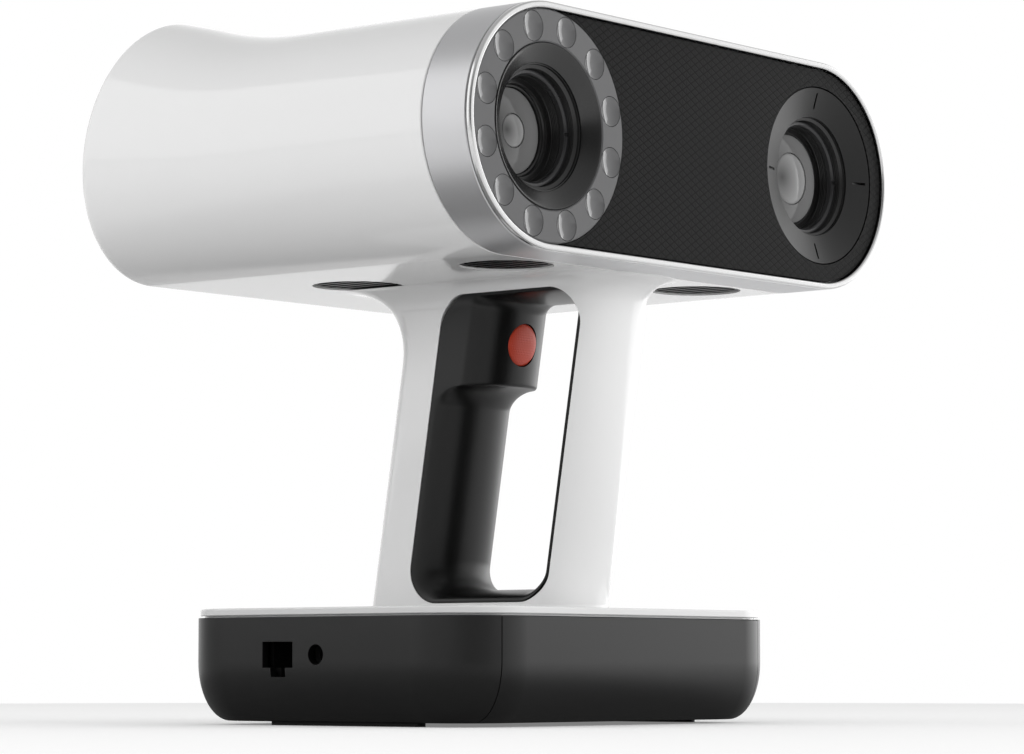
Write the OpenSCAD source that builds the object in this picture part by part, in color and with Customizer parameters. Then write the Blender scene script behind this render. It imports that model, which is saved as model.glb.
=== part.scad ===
// Hand-held 3D scanner that stands on its own base: a wide head with two recessed lenses,
// a leaning handle with a rubber-lined finger opening and a red trigger, and a base whose
// front is a battery pack that slides out. The front faces -Y and +Z is up. The origin is on
// the floor under the middle of the head, and depths below are measured back from the rim.

/* [Head] */
// Width of the head at its front rim
front_w = 218; // [212:1:222]
// Height of the head at its front rim
front_h = 76; // [73:0.5:80]
// Width of the head at its rear edge
rear_w = 229; // [222:1:236]
// Depth from the rim to the lowest point of the rear edge
head_d = 169.5; // [164:0.5:176]
// Depth of the level part of the roof
roof_d = 92; // [86:1:100]
// Length over which the roof bends up
roof_bend = 44; // [30:1:56]
// Rise of the rear edge above the level roof
roof_rise = 10.2; // [6:0.2:16]
// Depth of the rounding at the sides of the rear edge
rear_side = 38; // [33:0.5:40]
// Height of the underside above the floor
head_z = 143.5; // [141:0.5:148]
// Lean of the screen face back from upright, in degrees
screen_lean = 11; // [6:0.5:14]
// Wall of the head shell
head_wall = 2.6; // [2.2:0.1:3.2]
// Radius of the rear edge
rear_r = 4; // [3:0.5:5]
// Depth of the lip that holds the screen frame
lip_d = 5; // [4:0.5:6]

/* [Front] */
// Width of the bright rim
rim_w = 2.1; // [1.6:0.1:2.6]
// Depth of the rim that shows in front of the band
rim_lip = 1.4; // [1:0.1:2]
// Depth of the front face behind the rim, where the panel seats
seat_y = 4.6; // [4.2:0.1:5.4]
// Depth of the satin band
band_d = 18.5; // [17:0.5:22]
// Thickness of the optical frame
frame_t = 4; // [3:0.5:5]
// Width of the ledge that the optical frame is screwed to
ledge_w = 6; // [5.6:0.1:6.6]
// Recess of the black panel behind the rim
panel_y = 1.2; // [0.8:0.1:1.6]
// Visible joint between the rim, the band and the shell
joint_gap = 0.4; // [0.3:0.1:0.6]

/* [Lamp ring and camera] */
// Number of lamps round the camera
lamp_n = 12; // [8:1:14]
// Diameter of a lamp window
lamp_d = 9.6; // [8:0.2:10]
// Recess of the lamp ring behind the rim
lamp_y = 0.8; // [0.6:0.1:1.2]
// Thickness of the lamp circuit board
lamp_board_t = 1.2; // [1:0.1:1.4]
// Outer radius of the dark cone inside the lamp ring
hood_r = 25.4; // [24.5:0.1:26]
// Radius of the hole at the bottom of the cone
hood_hole_r = 19.6; // [19:0.1:20.5]
// Depth of the camera lens
camera_lens_y = 17; // [15.5:0.5:19]
// Radius of the camera lens
camera_lens_r = 13.4; // [12.5:0.1:14]
// Side of the camera body
camera_body_w = 46; // [40:1:50]
// Length of the camera body
camera_body_l = 28; // [22:1:30]

/* [Projector] */
// Radius of the grey ring round the projector
ring_r = 29.5; // [28:0.1:30.5]
// Recess of that ring behind the panel
ring_recess = 1.4; // [1:0.1:1.8]
// Radius of the hole in that ring
ring_hole_r = 20.4; // [20:0.1:21.5]
// Fall of that ring towards its hole
ring_fall = 1.3; // [0.8:0.1:1.5]
// Depth of the projector lens
projector_lens_y = 15.5; // [14.5:0.5:17]
// Radius of the projector lens
projector_lens_r = 14.8; // [14:0.1:15.5]
// Side of the projector body
projector_body_w = 50; // [44:1:54]
// Length of the projector body
projector_body_l = 32; // [24:1:34]

/* [Underside vents and fans] */
// Diameter of a vent
vent_d = 30; // [26:0.5:31]
// Sideways place of the front vents
front_vent_x = 49; // [44:1:54]
// Depth of the front vents
front_vent_y = 36.5; // [36:0.5:42]
// Sideways place of the rear vents and their fans
rear_vent_x = 34.6; // [33:0.2:42]
// Depth of the rear vents and their fans
rear_vent_y = 112.5; // [111:0.5:118]
// Side of a fan frame
fan_w = 33; // [32:0.5:36]
// Height of a fan frame
fan_h = 9; // [8:0.5:11]
// Number of fan blades
blade_n = 7; // [5:1:9]

/* [Electronics in the head] */
// Width of the main board
board_w = 124; // [100:1:140]
// Depth of the main board
board_d = 34; // [30:1:36]
// Depth of the front edge of the main board
board_y = 59; // [57:0.5:61]
// Height of the stand-offs under the main board
standoff_h = 8; // [6:0.5:12]
// Number of heat sink fins
fin_n = 13; // [8:1:16]
// Height of a heat sink fin
fin_h = 14; // [8:1:18]

/* [Screen] */
// Width of the screen glass
glass_w = 176; // [160:1:180]
// Height of the screen glass
glass_h = 70; // [64:1:72]
// Corner radius of the screen glass
glass_r = 12; // [8:0.5:14]
// Thickness of the screen glass
glass_t = 1.5; // [1:0.1:2]

/* [Handle] */
// Thickness of the handle from side to side
handle_t = 36; // [34:0.5:38]
// Depth of the handle from front to rear
handle_d = 87; // [84:0.5:92]
// Depth of the front edge at the foot of the handle
handle_y = 41.8; // [40:0.2:44]
// Forward lean of the handle, in degrees
handle_lean = 9.3; // [7:0.1:10]
// Depth of the rounding at the front and rear edges
handle_round = 12; // [9:0.5:14]
// Radius of the fillet at the rear of the head
flare_rear = 25; // [18:1:28]
// Radius of the fillet at the sides and front of the head
flare_side = 8; // [5:0.5:10]
// Radius of the fillet on the base
foot_fillet = 1.5; // [1:0.1:2.5]

/* [Finger opening] */
// Width of the opening from front to rear
open_w = 57.9; // [56:0.1:60]
// Thickness of the column in front of the opening
open_wall = 6.5; // [6:0.1:8]
// Height of the lower edge of the opening above the base plate
open_low = 2.1; // [1.6:0.1:3]
// Height of the white strip over the opening
open_high = 3.6; // [3:0.1:4.5]
// Corner radius of the opening
open_r = 11; // [9:0.5:12]
// Depth of the grip in front of the rear edge
grip_depth = 11.3; // [10:0.1:13]
// Depth of the trigger boss in front of the rear edge
boss_depth = 22; // [20.5:0.5:23.5]
// Drop from the middle of the trigger to the bottom of its boss
boss_drop = 13.6; // [12:0.2:16]
// Height of the hollow fillet under the boss
boss_fillet = 7; // [5:0.5:9]
// Corner radius of the finger hole over the trigger
hole_top_r = 3.5; // [2.5:0.5:5]
// Corner radius of the finger hole under the grip
hole_low_r = 10; // [8:0.5:11]
// Thickness of the lining at the middle of the opening's front and top
lining_t = 2.6; // [2:0.1:3.5]
// Thickness of the lining at the middle of the opening's bottom
lining_low_t = 4.5; // [3.5:0.1:5.5]

/* [Trigger] */
// Diameter of the trigger
trigger_d = 14; // [12:0.2:15]
// Depth of the middle of the trigger under the top of the opening
trigger_drop = 16.1; // [15:0.1:18]
// Travel of the trigger
trigger_travel = 1.6; // [1:0.1:2]
// Depth of the trigger's edge behind the front of the boss
trigger_sunk = 0.4; // [0.2:0.1:0.8]

/* [Base] */
// Width of the base
base_w = 164.2; // [160:0.2:168]
// Depth of the base
base_d = 131; // [127:0.5:135]
// Depth of the front face of the base behind the rim
base_y = 22; // [20:0.2:24]
// Radius of the corners in plan
base_corner = 26; // [22:0.5:28]
// Height of the rounded lower edge
base_fillet = 19; // [16:0.5:20]
// Inward reach of the rounded lower edge
base_tuck = 10.5; // [9:0.5:11]
// Height of the black line under the white plate
deck_top = 34.2; // [33:0.1:36]
// Thickness of the white plate
plate_t = 2.3; // [2:0.1:3]
// Black gap under the edge of the plate
plate_gap = 0.6; // [0.4:0.1:0.8]
// Inset of the plate from the black sides
plate_inset = 0.6; // [0.3:0.1:1]
// Wall of the base housing
base_wall = 2.6; // [2.2:0.1:3]
// Thickness of the deck over the battery pack
deck_t = 2.4; // [2.2:0.1:3]
// Height of the feet
foot_h = 1.2; // [0.8:0.1:1.6]
// Width of a foot strip
foot_w = 4; // [3:0.1:4.2]
// Length of a foot strip
foot_l = 64; // [56:1:66]
// Distance of a foot strip's front end from the front face
foot_y = 31; // [27:0.5:34]

/* [Battery pack] */
// Half of the pack's width, from the middle to its side joint
pack_hw = 65.8; // [62:0.2:67]
// Depth of the pack from the front face
pack_d = 54; // [48:0.5:55]
// Depth of the lip at the front of the pack, which hides the deck
pack_lip = 6; // [5:0.5:8]
// Joint round the pack
pack_gap = 0.3; // [0.2:0.05:0.4]
// Depth of the rails that carry the pack
rail_d = 2.4; // [1.8:0.1:3]
// Distance of the rails' front ends from the front face
rail_y = 14; // [8:0.5:18]
// Height of the rails above the floor
rail_z = 22; // [20:0.5:25]
// Thickness of the rails
rail_t = 3; // [2.4:0.2:4]
// Number of pack contacts
contact_n = 5; // [3:1:6]

/* [Sockets] */
// Width of the network socket
rj_w = 13; // [12:0.1:13.4]
// Height of the network socket
rj_h = 8.2; // [7.6:0.1:8.6]
// Depth of the middle of the network socket behind the rim
rj_y = 102.8; // [100:0.2:106]
// Depth of the middle of the power socket behind the rim
dc_y = 86.4; // [85.8:0.1:88]
// Height of the middle of the sockets above the floor
socket_z = 22.3; // [21.6:0.1:23]
// Diameter of the power socket's bore
dc_d = 6.4; // [5.6:0.1:6.6]
// Depth of the sockets
socket_d = 12; // [9:0.5:13]
// Diameter of the power button
power_d = 10; // [8:0.2:11]
// Travel of the power button
power_travel = 1.2; // [0.8:0.1:1.6]

/* [Fits] */
// Gap between fixed pieces that sit inside each other
fit = 0.2; // [0.1:0.05:0.3]
// Gap between a moving piece and its guide
slide_gap = 0.15; // [0.1:0.05:0.25]
// Radial gap between a fan and its shaft
shaft_gap = 0.05; // [0.03:0.01:0.08]

/* [Hidden] */
$fn = 64;

// Places of the lenses: the middles of the front's round ends
end_r = front_h / 2;
lens_x = front_w / 2 - end_r;
lens_z = head_z + end_r;

// Rear edge of the head: its height, its middle and the slope of its lean
rear_h = front_h + roof_rise;
rear_y = head_d - tan(screen_lean) * rear_h / 2;
rear_z = head_z + rear_h / 2;
lip_in = rear_r + 1;
floor_z = head_z + head_wall;

// Front stack
skirt_in = 1;
band_thin = skirt_in - 0.2;
band_wall = rim_w + 0.1;
frame_in = band_wall + fit + 0.1;
frame_y = seat_y + frame_t;
ledge_t = 2.2;
panel_in = rim_w + fit;
lamp_out_r = end_r - panel_in;
lamp_in_r = hood_r + fit;
lamp_mid_r = (lamp_in_r + lamp_out_r) / 2;
lamp_back = seat_y - lamp_board_t;
tongue_l = 4;
screw_r = 1.5;
screw_head_r = 2.8;
screw_head_h = 2;
frame_screw_in = band_wall + screw_head_r + fit;

// Optical barrels
barrel_gap = 0.2;
lens_t = 4;
camera_tail = 4;
projector_tail = 5;
mouth_d = 5.6;
camera_step = 4.2;
projector_step = 4;
camera_barrel_r = hood_hole_r + 0.8;
camera_back = camera_lens_y + lens_t + camera_tail;
projector_barrel_r = ring_hole_r + 0.6;
projector_back = projector_lens_y + lens_t + projector_tail;
barrel_flange_t = 3;
barrel_flange_w = 4;

// Fans: the grille's flange lies on the floor and the fan stands on it
grille_t = 1;
fan_z = floor_z + grille_t;
fan_bore_r = fan_w / 2 - 1;
fan_tip_gap = 0.8;
fan_hub_r = 6.5;
fan_shaft_r = 1.5;
spider_t = 1.4;

// Board over the floor
pcb_t = 1.6;
board_z = floor_z + standoff_h;
chip_w = 28;
chip_t = 2.4;
sink_d = board_d - 4;
sink_t = 3;
fin_t = 1.2;
standoff_r = 3;
board_margin = 4.5;

// Base heights
base_cy = base_y + base_d / 2;
plate_z = deck_top + plate_gap;
plate_top = plate_z + plate_t;
deck_z = deck_top - deck_t;
pack_back = base_y + pack_d;
pack_top = deck_z - pack_gap;
lip_top = deck_top - pack_gap;
bulkhead_t = 2.4;
bay_back = pack_back + pack_gap;
cavity_y = bay_back + bulkhead_t;
port_z = 12;
port_top = port_z + pcb_t;
board_back = base_y + base_d - base_corner;

// Handle lines, at a height z
slope = tan(handle_lean);
handle_half = handle_t / 2;
function lean_y(z) = -slope * (z - plate_top);
function front_edge(z) = handle_y + lean_y(z);
function rear_edge(z) = handle_y + handle_d + lean_y(z);
open_front = handle_y + open_wall;
open_rear = open_front + open_w;
open_bottom = plate_top + open_low;
open_top = head_z - open_high;
lining_half = handle_half - 0.2;
lining_lip = 0.7;

// Window for the display behind the screen glass
window_w = glass_w - 28;
window_h = glass_h - 10;

// Trigger boss: its face is square to the handle's lean
trigger_z = open_top - trigger_drop;
boss_z = trigger_z - boss_drop;
boss_y = open_rear - boss_depth + lean_y(trigger_z);
boss_back = boss_depth * cos(handle_lean);
trigger_r = trigger_d / 2;
trigger_body = 7;
trigger_flange_w = 1.5;
trigger_flange_t = 2;
trigger_stem_r = 2;
trigger_stem_l = 3;
switch_w = 9;
switch_drop = 2.5;
plunger_l = 1.8;
plunger_gap = 0.4;
switch_y = trigger_body + trigger_flange_t + trigger_stem_l + trigger_travel + plunger_gap + plunger_l;

// Contacts and sockets
contact_pitch = 8;
contact_t = 0.8;
contact_h = 5;
contact_l = 5;
block_h = 10;
block_lip = 1;
contact_z = port_top + 0.5 + block_lip + block_h / 2;
block_w = contact_n * contact_pitch + 4;
rj_tab_w = 6.3;
rj_tab_h = 2.9;
socket_x = -base_w / 2 + base_wall + 2.6;
socket_l = socket_d + 3;
rj_wall = 1.6;
power_z = deck_z - power_d / 2 - 2.5;
base_back = base_y + base_d;
cavity_r = 5;

// Steps round a half turn of the lofted pieces
arc_n = 24;

function mix(a, b, t) = a + (b - a) * t;
function ease(t) = let(u = min(1, max(0, t))) u * u * (3 - 2 * u);
function back_to_front(list) = [for (i = [len(list) - 1 : -1 : 0]) list[i]];

// Closed outline of the head at a depth y, moved in by inset: level top and bottom, round sides
function lean_share(y) = ease((y - roof_d) / (rear_y - roof_d));
function roof_lift(y) =
  let(t = max(0, y - roof_d))
  roof_rise * (t < roof_bend ? t * t / (2 * roof_bend) : t - roof_bend / 2)
    / (rear_y - roof_d - roof_bend / 2);
function head_ring(y, inset) =
  let(
    t = y / rear_y,
    a = mix(end_r, rear_side, t) - inset,
    half = mix(front_w, rear_w, t) / 2 - inset - a,
    low = head_z + inset,
    high = head_z + front_h + roof_lift(y) - inset,
    mid = (low + high) / 2,
    b = (high - low) / 2,
    k = tan(screen_lean) * lean_share(y)
  )
  [for (s = [1, -1]) for (i = [0 : arc_n])
    let(g = 90 - 180 * i / arc_n)
    [s * (half + a * cos(g)), y - k * b * s * sin(g), mid + s * b * sin(g)]];

// Outline of the handle at a height z, with its fillets to the head and to the base
function fillet(r, h) = h >= r ? 0 : r - sqrt(r * r - (r - h) * (r - h));
function handle_ring(z, inset) =
  let(
    up = max(0, head_z - z),
    down = max(0, z - plate_top),
    foot = fillet(foot_fillet, down),
    side = handle_half + fillet(flare_side, up) + foot,
    fore = front_edge(z) - fillet(flare_side, up) - foot,
    aft = rear_edge(z) + fillet(flare_rear, up) + foot
  )
  [for (s = [-1, 1]) for (i = [0 : arc_n])
    let(g = 180 * i / arc_n + (s < 0 ? 180 : 0))
    [(side - inset) * cos(g),
     (s < 0 ? fore + handle_round : aft - handle_round) + (handle_round - inset) * sin(g), z]];

// Outline of the base at a height z, from depth y0 to depth y1, with corner radius r0 in front and
// r1 behind, and the inset of its rounded lower edge
function base_inset(z, r, z0, tuck) =
  z >= z0 + r ? 0 : tuck * (1 - sqrt(1 - (z0 + r - z) * (z0 + r - z) / (r * r)));
function base_ring(z, half, y0, y1, r0, r1) =
  [for (c = [[1, 1], [-1, 1], [-1, -1], [1, -1]])
    let(
      turn = c == [1, 1] ? 0 : c == [-1, 1] ? 90 : c == [-1, -1] ? 180 : 270,
      r = c[1] > 0 ? r1 : r0
    )
    for (i = [0 : 9])
      [c[0] * (half - r) + r * cos(turn + 10 * i),
       (c[1] > 0 ? y1 - r : y0 + r) + r * sin(turn + 10 * i), z]];

// Finger hole in the lining at x. The grip along its rear side is half an ellipse in plan, and the
// trigger boss is the same form further forward, over a hollow fillet.
function bulge(x) = let(f = min(1, abs(x) / lining_half)) sqrt(1 - f * f);
function step_out(z) = let(u = min(1, max(0, (z - boss_z) / boss_fillet + 1))) 1 - sqrt(1 - u * u);
function nose(x, z) =
  open_rear - mix(lining_lip, grip_depth, bulge(x)) - (boss_depth - grip_depth) * step_out(z);
function corner(y, z, r, start) =
  [for (i = [0 : 6]) [y + r * cos(start + 15 * i), z + r * sin(start + 15 * i)]];
function hole_ring(x) =
  let(
    r = open_r - 2.5,
    fore = open_front + mix(lining_lip, lining_t, bulge(x)),
    bottom = open_bottom + mix(lining_lip, lining_low_t, bulge(x)),
    top = open_top - mix(lining_lip, lining_t, bulge(x)),
    low = bottom + hole_low_r,
    high = top - hole_top_r,
    under = [for (i = [0 : 8]) boss_z - boss_fillet * (1 - sin(11.25 * i))]
  )
  [for (p = concat(
      corner(nose(x, low) - hole_low_r, low, hole_low_r, -90),
      [for (z = concat([mix(low, boss_z - boss_fillet, 0.5)], under)) [nose(x, z), z]],
      corner(nose(x, high) - hole_top_r, high, hole_top_r, 0),
      corner(fore + r, top - r, r, 90),
      corner(fore + r, bottom + r, r, 180)))
    [x, p[0] + lean_y(p[1]), p[1]]];

// Skin through a list of outlines with the same number of points, which run anticlockwise as seen
// from ahead. A loop joins the last outline to the first.
module loft(rings, loop = false) {
  n = len(rings[0]);
  m = len(rings);
  sides = [for (j = [0 : m - (loop ? 1 : 2)]) for (i = [0 : n - 1])
    let(
      a = j * n + i,
      b = j * n + (i + 1) % n,
      c = (j + 1) % m * n + (i + 1) % n,
      d = (j + 1) % m * n + i
    )
    each [[c, b, a], [d, c, a]]];
  caps = loop ? [] : [[for (i = [0 : n - 1]) i], [for (i = [n - 1 : -1 : 0]) (m - 1) * n + i]];
  polyhedron([for (r = rings) each r], concat(sides, caps));
}

// Depths are drawn from the rim and moved so that the origin is under the middle of the head
module from_rim() {
  translate([0, -head_d / 2, 0]) children();
}

// Front view drawn in x and z, made solid from depth y back by d
module slab(y, d) {
  translate([0, y + d, 0]) rotate([90, 0, 0]) linear_extrude(d) children();
}

// Turned piece on a lens axis: the profile gives radius and depth
module turned(x, profile) {
  translate([x, 0, lens_z])
    rotate([90, 0, 0])
      rotate_extrude($fn = 96) polygon([for (p = profile) [p[0], -p[1]]]);
}

// Front outline moved in by inset
module pill(inset) {
  for (s = [-1, 1])
    translate([s * lens_x, lens_z]) circle(end_r - inset, $fn = 128);
  translate([-lens_x, lens_z - end_r + inset]) square([2 * lens_x, 2 * (end_r - inset)]);
}

// Profile of inset and depth swept round the front outline
module pill_sweep(profile) {
  for (s = [-1, 1]) {
    translate([s * lens_x, 0, lens_z])
      rotate([90, 0, 0])
        rotate([0, 0, -90 * s])
          rotate_extrude(angle = 180, $fn = 128)
            polygon([for (p = profile) [end_r - p[0], -p[1]]]);
    translate([-lens_x, 0, lens_z])
      rotate([90, 0, 90])
        linear_extrude(2 * lens_x)
          polygon([for (p = profile) [p[1], s * (end_r - p[0])]]);
  }
}

module rounded(w, d, r) {
  square([w - 2 * r, d], center = true);
  square([w, d - 2 * r], center = true);
  for (x = [-1, 1], y = [-1, 1])
    translate([x * (w / 2 - r), y * (d / 2 - r)]) circle(r);
}

// Finger opening in side view, with its edges moved in by inset
module opening_outline(inset) {
  r = open_r - inset;
  low = open_bottom + open_r;
  high = open_top - open_r;
  side = open_r / cos(handle_lean);
  corners = [
    [open_rear - side, low, -90], [open_rear - side, high, 0],
    [open_front + side, high, 90], [open_front + side, low, 180]
  ];
  polygon([for (c = corners) for (i = [0 : 8])
    let(
      lean = c[2] == -90 || c[2] == 90 ? i / 8 : 1 - i / 8,
      g = c[2] + 90 * i / 8 + handle_lean * lean
    )
    [c[0] + lean_y(c[1]) + r * cos(g), c[1] + r * sin(g)]]);
}

// Side view drawn in y and z, made solid over a thickness t about the middle plane
module across(t) {
  translate([-t / 2, 0, 0]) rotate([90, 0, 90]) linear_extrude(t) children();
}

// Axes of the trigger: local y runs into the boss, square to its face
module on_boss() {
  translate([0, boss_y, trigger_z]) rotate([handle_lean, 0, 0]) children();
}

module boss_rod(r, y0, y1) {
  translate([0, y0, 0]) rotate([-90, 0, 0]) cylinder(r = r, h = y1 - y0);
}

// Axes of the screen: local y is the outward normal of the rear face
module on_screen() {
  translate([0, rear_y, rear_z]) rotate([screen_lean, 0, 0]) children();
}

module screen_slab(w, h, r, n0, n1) {
  translate([0, n1, 0]) rotate([90, 0, 0]) linear_extrude(n1 - n0) rounded(w, h, r);
}

// Places of the fasteners
module frame_screw_places() {
  for (sx = [-1, 1], sz = [-1, 1])
    translate([sx * lens_x / 2, frame_y, lens_z + sz * (end_r - frame_screw_in)]) children();
}

module head_screw_places() {
  for (s = [-1, 1]) {
    translate([s * 8, front_edge(head_z) + 6, head_z]) children();
    translate([s * 10, rear_edge(head_z) - 12, head_z]) children();
  }
}

module base_screw_places() {
  for (s = [-1, 1]) {
    translate([s * 7, front_edge(plate_top) + open_wall / 2 + 0.2, 0]) children();
    translate([s * 10, rear_edge(plate_top) - 12, 0]) children();
  }
}

module vent_places() {
  for (s = [-1, 1]) {
    translate([s * front_vent_x, front_vent_y, 0]) children();
    translate([s * rear_vent_x, rear_vent_y, 0]) children();
  }
}

module board_corners() {
  for (sx = [-1, 1], y = [board_y + board_margin, board_y + board_d - board_margin])
    translate([sx * (board_w / 2 - board_margin), y, 0]) children();
}

// Bright rim with a rounded front, set into the band on a skirt
module rim_ring() {
  color("gainsboro") from_rim()
    pill_sweep([
      [0, rim_lip], [0, 0.6], [0.2, 0.2], [0.6, 0],
      [rim_w - 0.6, 0], [rim_w - 0.2, 0.2], [rim_w, 0.6],
      [rim_w, seat_y], [skirt_in, seat_y], [skirt_in, rim_lip]
    ]);
}

// Black panel between the lamp ring and the right end of the front
module front_panel() {
  color("#2b2b2d") from_rim()
    slab(panel_y, seat_y - panel_y)
      difference() {
        pill(panel_in);
        translate([-lens_x, lens_z]) circle(lamp_out_r + fit, $fn = 128);
        translate([lens_x, lens_z]) circle(ring_r + fit, $fn = 128);
      }
}

// Satin band: takes the rim's skirt in front, the optical frame on a ledge, the shell behind
module front_band() {
  y0 = rim_lip + joint_gap;
  color("silver") from_rim()
    difference() {
      loft(concat(
        [head_ring(y0, 0), head_ring(band_d, 0)],
        [head_ring(band_d, band_wall), head_ring(frame_y + ledge_t, band_wall)],
        [head_ring(frame_y + ledge_t, band_wall + ledge_w), head_ring(frame_y, band_wall + ledge_w)],
        [head_ring(frame_y, band_wall), head_ring(seat_y, band_wall)],
        [head_ring(seat_y, band_thin), head_ring(y0, band_thin)]
      ), loop = true);
      frame_screw_places()
        rotate([-90, 0, 0]) translate([0, 0, -1]) cylinder(r = screw_r + fit, h = ledge_t + 2);
    }
}

// Metal plate that carries both barrels and everything on the front
module optical_frame() {
  color("slategray") from_rim()
    difference() {
      slab(seat_y, frame_t)
        difference() {
          pill(frame_in);
          translate([-lens_x, lens_z]) circle(camera_barrel_r + barrel_gap, $fn = 96);
          translate([lens_x, lens_z]) circle(projector_barrel_r + barrel_gap, $fn = 96);
        }
      frame_screw_places()
        rotate([90, 0, 0]) translate([0, 0, -1]) cylinder(r = screw_r + 0.05, h = frame_t);
    }
}

// Four screws through the ledge into the optical frame
module frame_screws() {
  color("dimgray") from_rim()
    frame_screw_places() {
      rotate([90, 0, 0]) translate([0, 0, -ledge_t]) cylinder(r = screw_r, h = ledge_t + frame_t - 1.4);
      rotate([-90, 0, 0]) translate([0, 0, ledge_t]) cylinder(r = screw_head_r, h = screw_head_h);
    }
}

module lamp_places() {
  for (i = [0 : lamp_n - 1])
    let(g = 360 * (i + 0.5) / lamp_n)
    translate([-lens_x + lamp_mid_r * cos(g), 0, lens_z + lamp_mid_r * sin(g)]) children();
}

// Grey ring with a pocket for each lamp window
module lamp_ring() {
  color("#6e6e70") from_rim()
    difference() {
      turned(-lens_x, [
        [lamp_in_r, lamp_y + 0.3], [lamp_in_r + 0.4, lamp_y], [lamp_out_r - 0.4, lamp_y],
        [lamp_out_r, lamp_y + 0.3], [lamp_out_r, lamp_back], [lamp_in_r, lamp_back]
      ]);
      lamp_places() rotate([-90, 0, 0]) cylinder(d = lamp_d, h = seat_y, $fn = 32);
    }
}

// Domed windows over the lamps
module lamp_lenses() {
  r = lamp_d / 2 - 0.1;
  color("#8f8f91") from_rim()
    lamp_places()
      rotate([90, 0, 0])
        rotate_extrude($fn = 32)
          polygon([[0, -lamp_back], [r, -lamp_back], [r, -lamp_y - 0.5], [r * 0.8, -lamp_y - 0.1],
                   [r * 0.45, -lamp_y + 0.15], [0, -lamp_y + 0.25]]);
}

// Ring circuit board under the lamps
module lamp_board() {
  color("seagreen") from_rim()
    turned(-lens_x, [
      [lamp_in_r, lamp_back], [lamp_out_r, lamp_back], [lamp_out_r, seat_y], [lamp_in_r, seat_y]
    ]);
}

// Shallow dark cone round the camera
module camera_hood() {
  color("#2a2a2c") from_rim()
    turned(-lens_x, [
      [hood_r, lamp_y], [hood_r, seat_y], [hood_hole_r, seat_y],
      [hood_hole_r, seat_y - 0.4], [hood_r - 0.4, lamp_y]
    ]);
}

// Stepped barrel: from the hole of the cone down to the seat of the lens
module camera_barrel() {
  r = camera_barrel_r;
  color("#161617") from_rim()
    turned(-lens_x, [
      [r, seat_y + fit], [r, frame_y], [r + barrel_flange_w, frame_y],
      [r + barrel_flange_w, frame_y + barrel_flange_t], [r, frame_y + barrel_flange_t],
      [r, camera_back], [camera_lens_r - 1.6, camera_back],
      [camera_lens_r - 1.6, camera_lens_y + lens_t], [camera_lens_r + 0.1, camera_lens_y + lens_t],
      [camera_lens_r + 0.1, camera_lens_y - 1.4], [camera_lens_r + 1, camera_lens_y - 1.4],
      [camera_lens_r + 1, camera_lens_y - 3], [r - camera_step, camera_lens_y - 3],
      [r - camera_step, seat_y + mouth_d], [r - 2.4, seat_y + mouth_d],
      [r - 2.4, seat_y + 1.6], [r - 1.2, seat_y + 1], [r - 1.2, seat_y + fit]
    ]);
}

// Slotted ring that holds the front optics in a barrel of radius r
module slotted_ring(x, r) {
  y = seat_y + 3.4;
  difference() {
    turned(x, [[r, y], [r, y + 2.2], [r - 1.6, y + 2.2], [r - 1.6, y + 0.6], [r - 1, y]]);
    for (s = [-1, 1])
      translate([x + s * r, y, lens_z]) cube([6, 1.2, 1.2], center = true);
  }
}

module camera_retainer() {
  color("#232325") from_rim() slotted_ring(-lens_x, camera_barrel_r - 2.5);
}

// Front glass of the camera
module camera_lens() {
  r = camera_lens_r;
  y = camera_lens_y;
  color("#7d868c") from_rim()
    turned(-lens_x, [
      [0, y + lens_t], [r, y + lens_t], [r, y],
      [r * 0.85, y - 0.7], [r * 0.6, y - 1.4], [r * 0.3, y - 1.9], [0, y - 2]
    ]);
}

// Camera body with its sensor, behind the barrel
module camera_body() {
  color("#3a3a3d") from_rim()
    slab(camera_back, camera_body_l)
      translate([-lens_x, lens_z]) rounded(camera_body_w, camera_body_w, 3);
}

// Grey ring round the projector, falling to its hole, with four index marks
module projector_ring() {
  y = panel_y + ring_recess;
  color("#414143") from_rim()
    difference() {
      turned(lens_x, [
        [ring_r, y], [ring_r, seat_y], [ring_hole_r, seat_y], [ring_hole_r, y + ring_fall]
      ]);
      for (g = [0 : 90 : 270])
        translate([lens_x, y, lens_z])
          rotate([0, g, 0]) translate([22, -0.4, -0.4]) cube([6, 1, 0.8]);
    }
}

// Stepped barrel of the projector
module projector_barrel() {
  r = projector_barrel_r;
  color("#161617") from_rim()
    turned(lens_x, [
      [r, seat_y + fit], [r, frame_y], [r + barrel_flange_w, frame_y],
      [r + barrel_flange_w, frame_y + barrel_flange_t], [r, frame_y + barrel_flange_t],
      [r, projector_back], [projector_lens_r - 1.6, projector_back],
      [projector_lens_r - 1.6, projector_lens_y + lens_t],
      [projector_lens_r + 0.1, projector_lens_y + lens_t],
      [projector_lens_r + 0.1, projector_lens_y - 1.4], [r - projector_step, projector_lens_y - 1.4],
      [r - projector_step, seat_y + mouth_d], [r - 2.2, seat_y + mouth_d], [r - 2.2, seat_y + 1.6],
      [r - 1.2, seat_y + 1], [r - 1.2, seat_y + fit]
    ]);
}

module projector_retainer() {
  color("#232325") from_rim() slotted_ring(lens_x, projector_barrel_r - 2.3);
}

// Front glass of the projector
module projector_lens() {
  r = projector_lens_r;
  y = projector_lens_y;
  color("#7d868c") from_rim()
    turned(lens_x, [
      [0, y + lens_t], [r, y + lens_t], [r, y],
      [r * 0.85, y - 0.7], [r * 0.6, y - 1.5], [r * 0.3, y - 2], [0, y - 2.2]
    ]);
}

// Projector body with its light source, behind the barrel
module projector_body() {
  color("#3a3a3d") from_rim()
    slab(projector_back, projector_body_l)
      translate([lens_x, lens_z]) rounded(projector_body_w, projector_body_w, 3);
}

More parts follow.
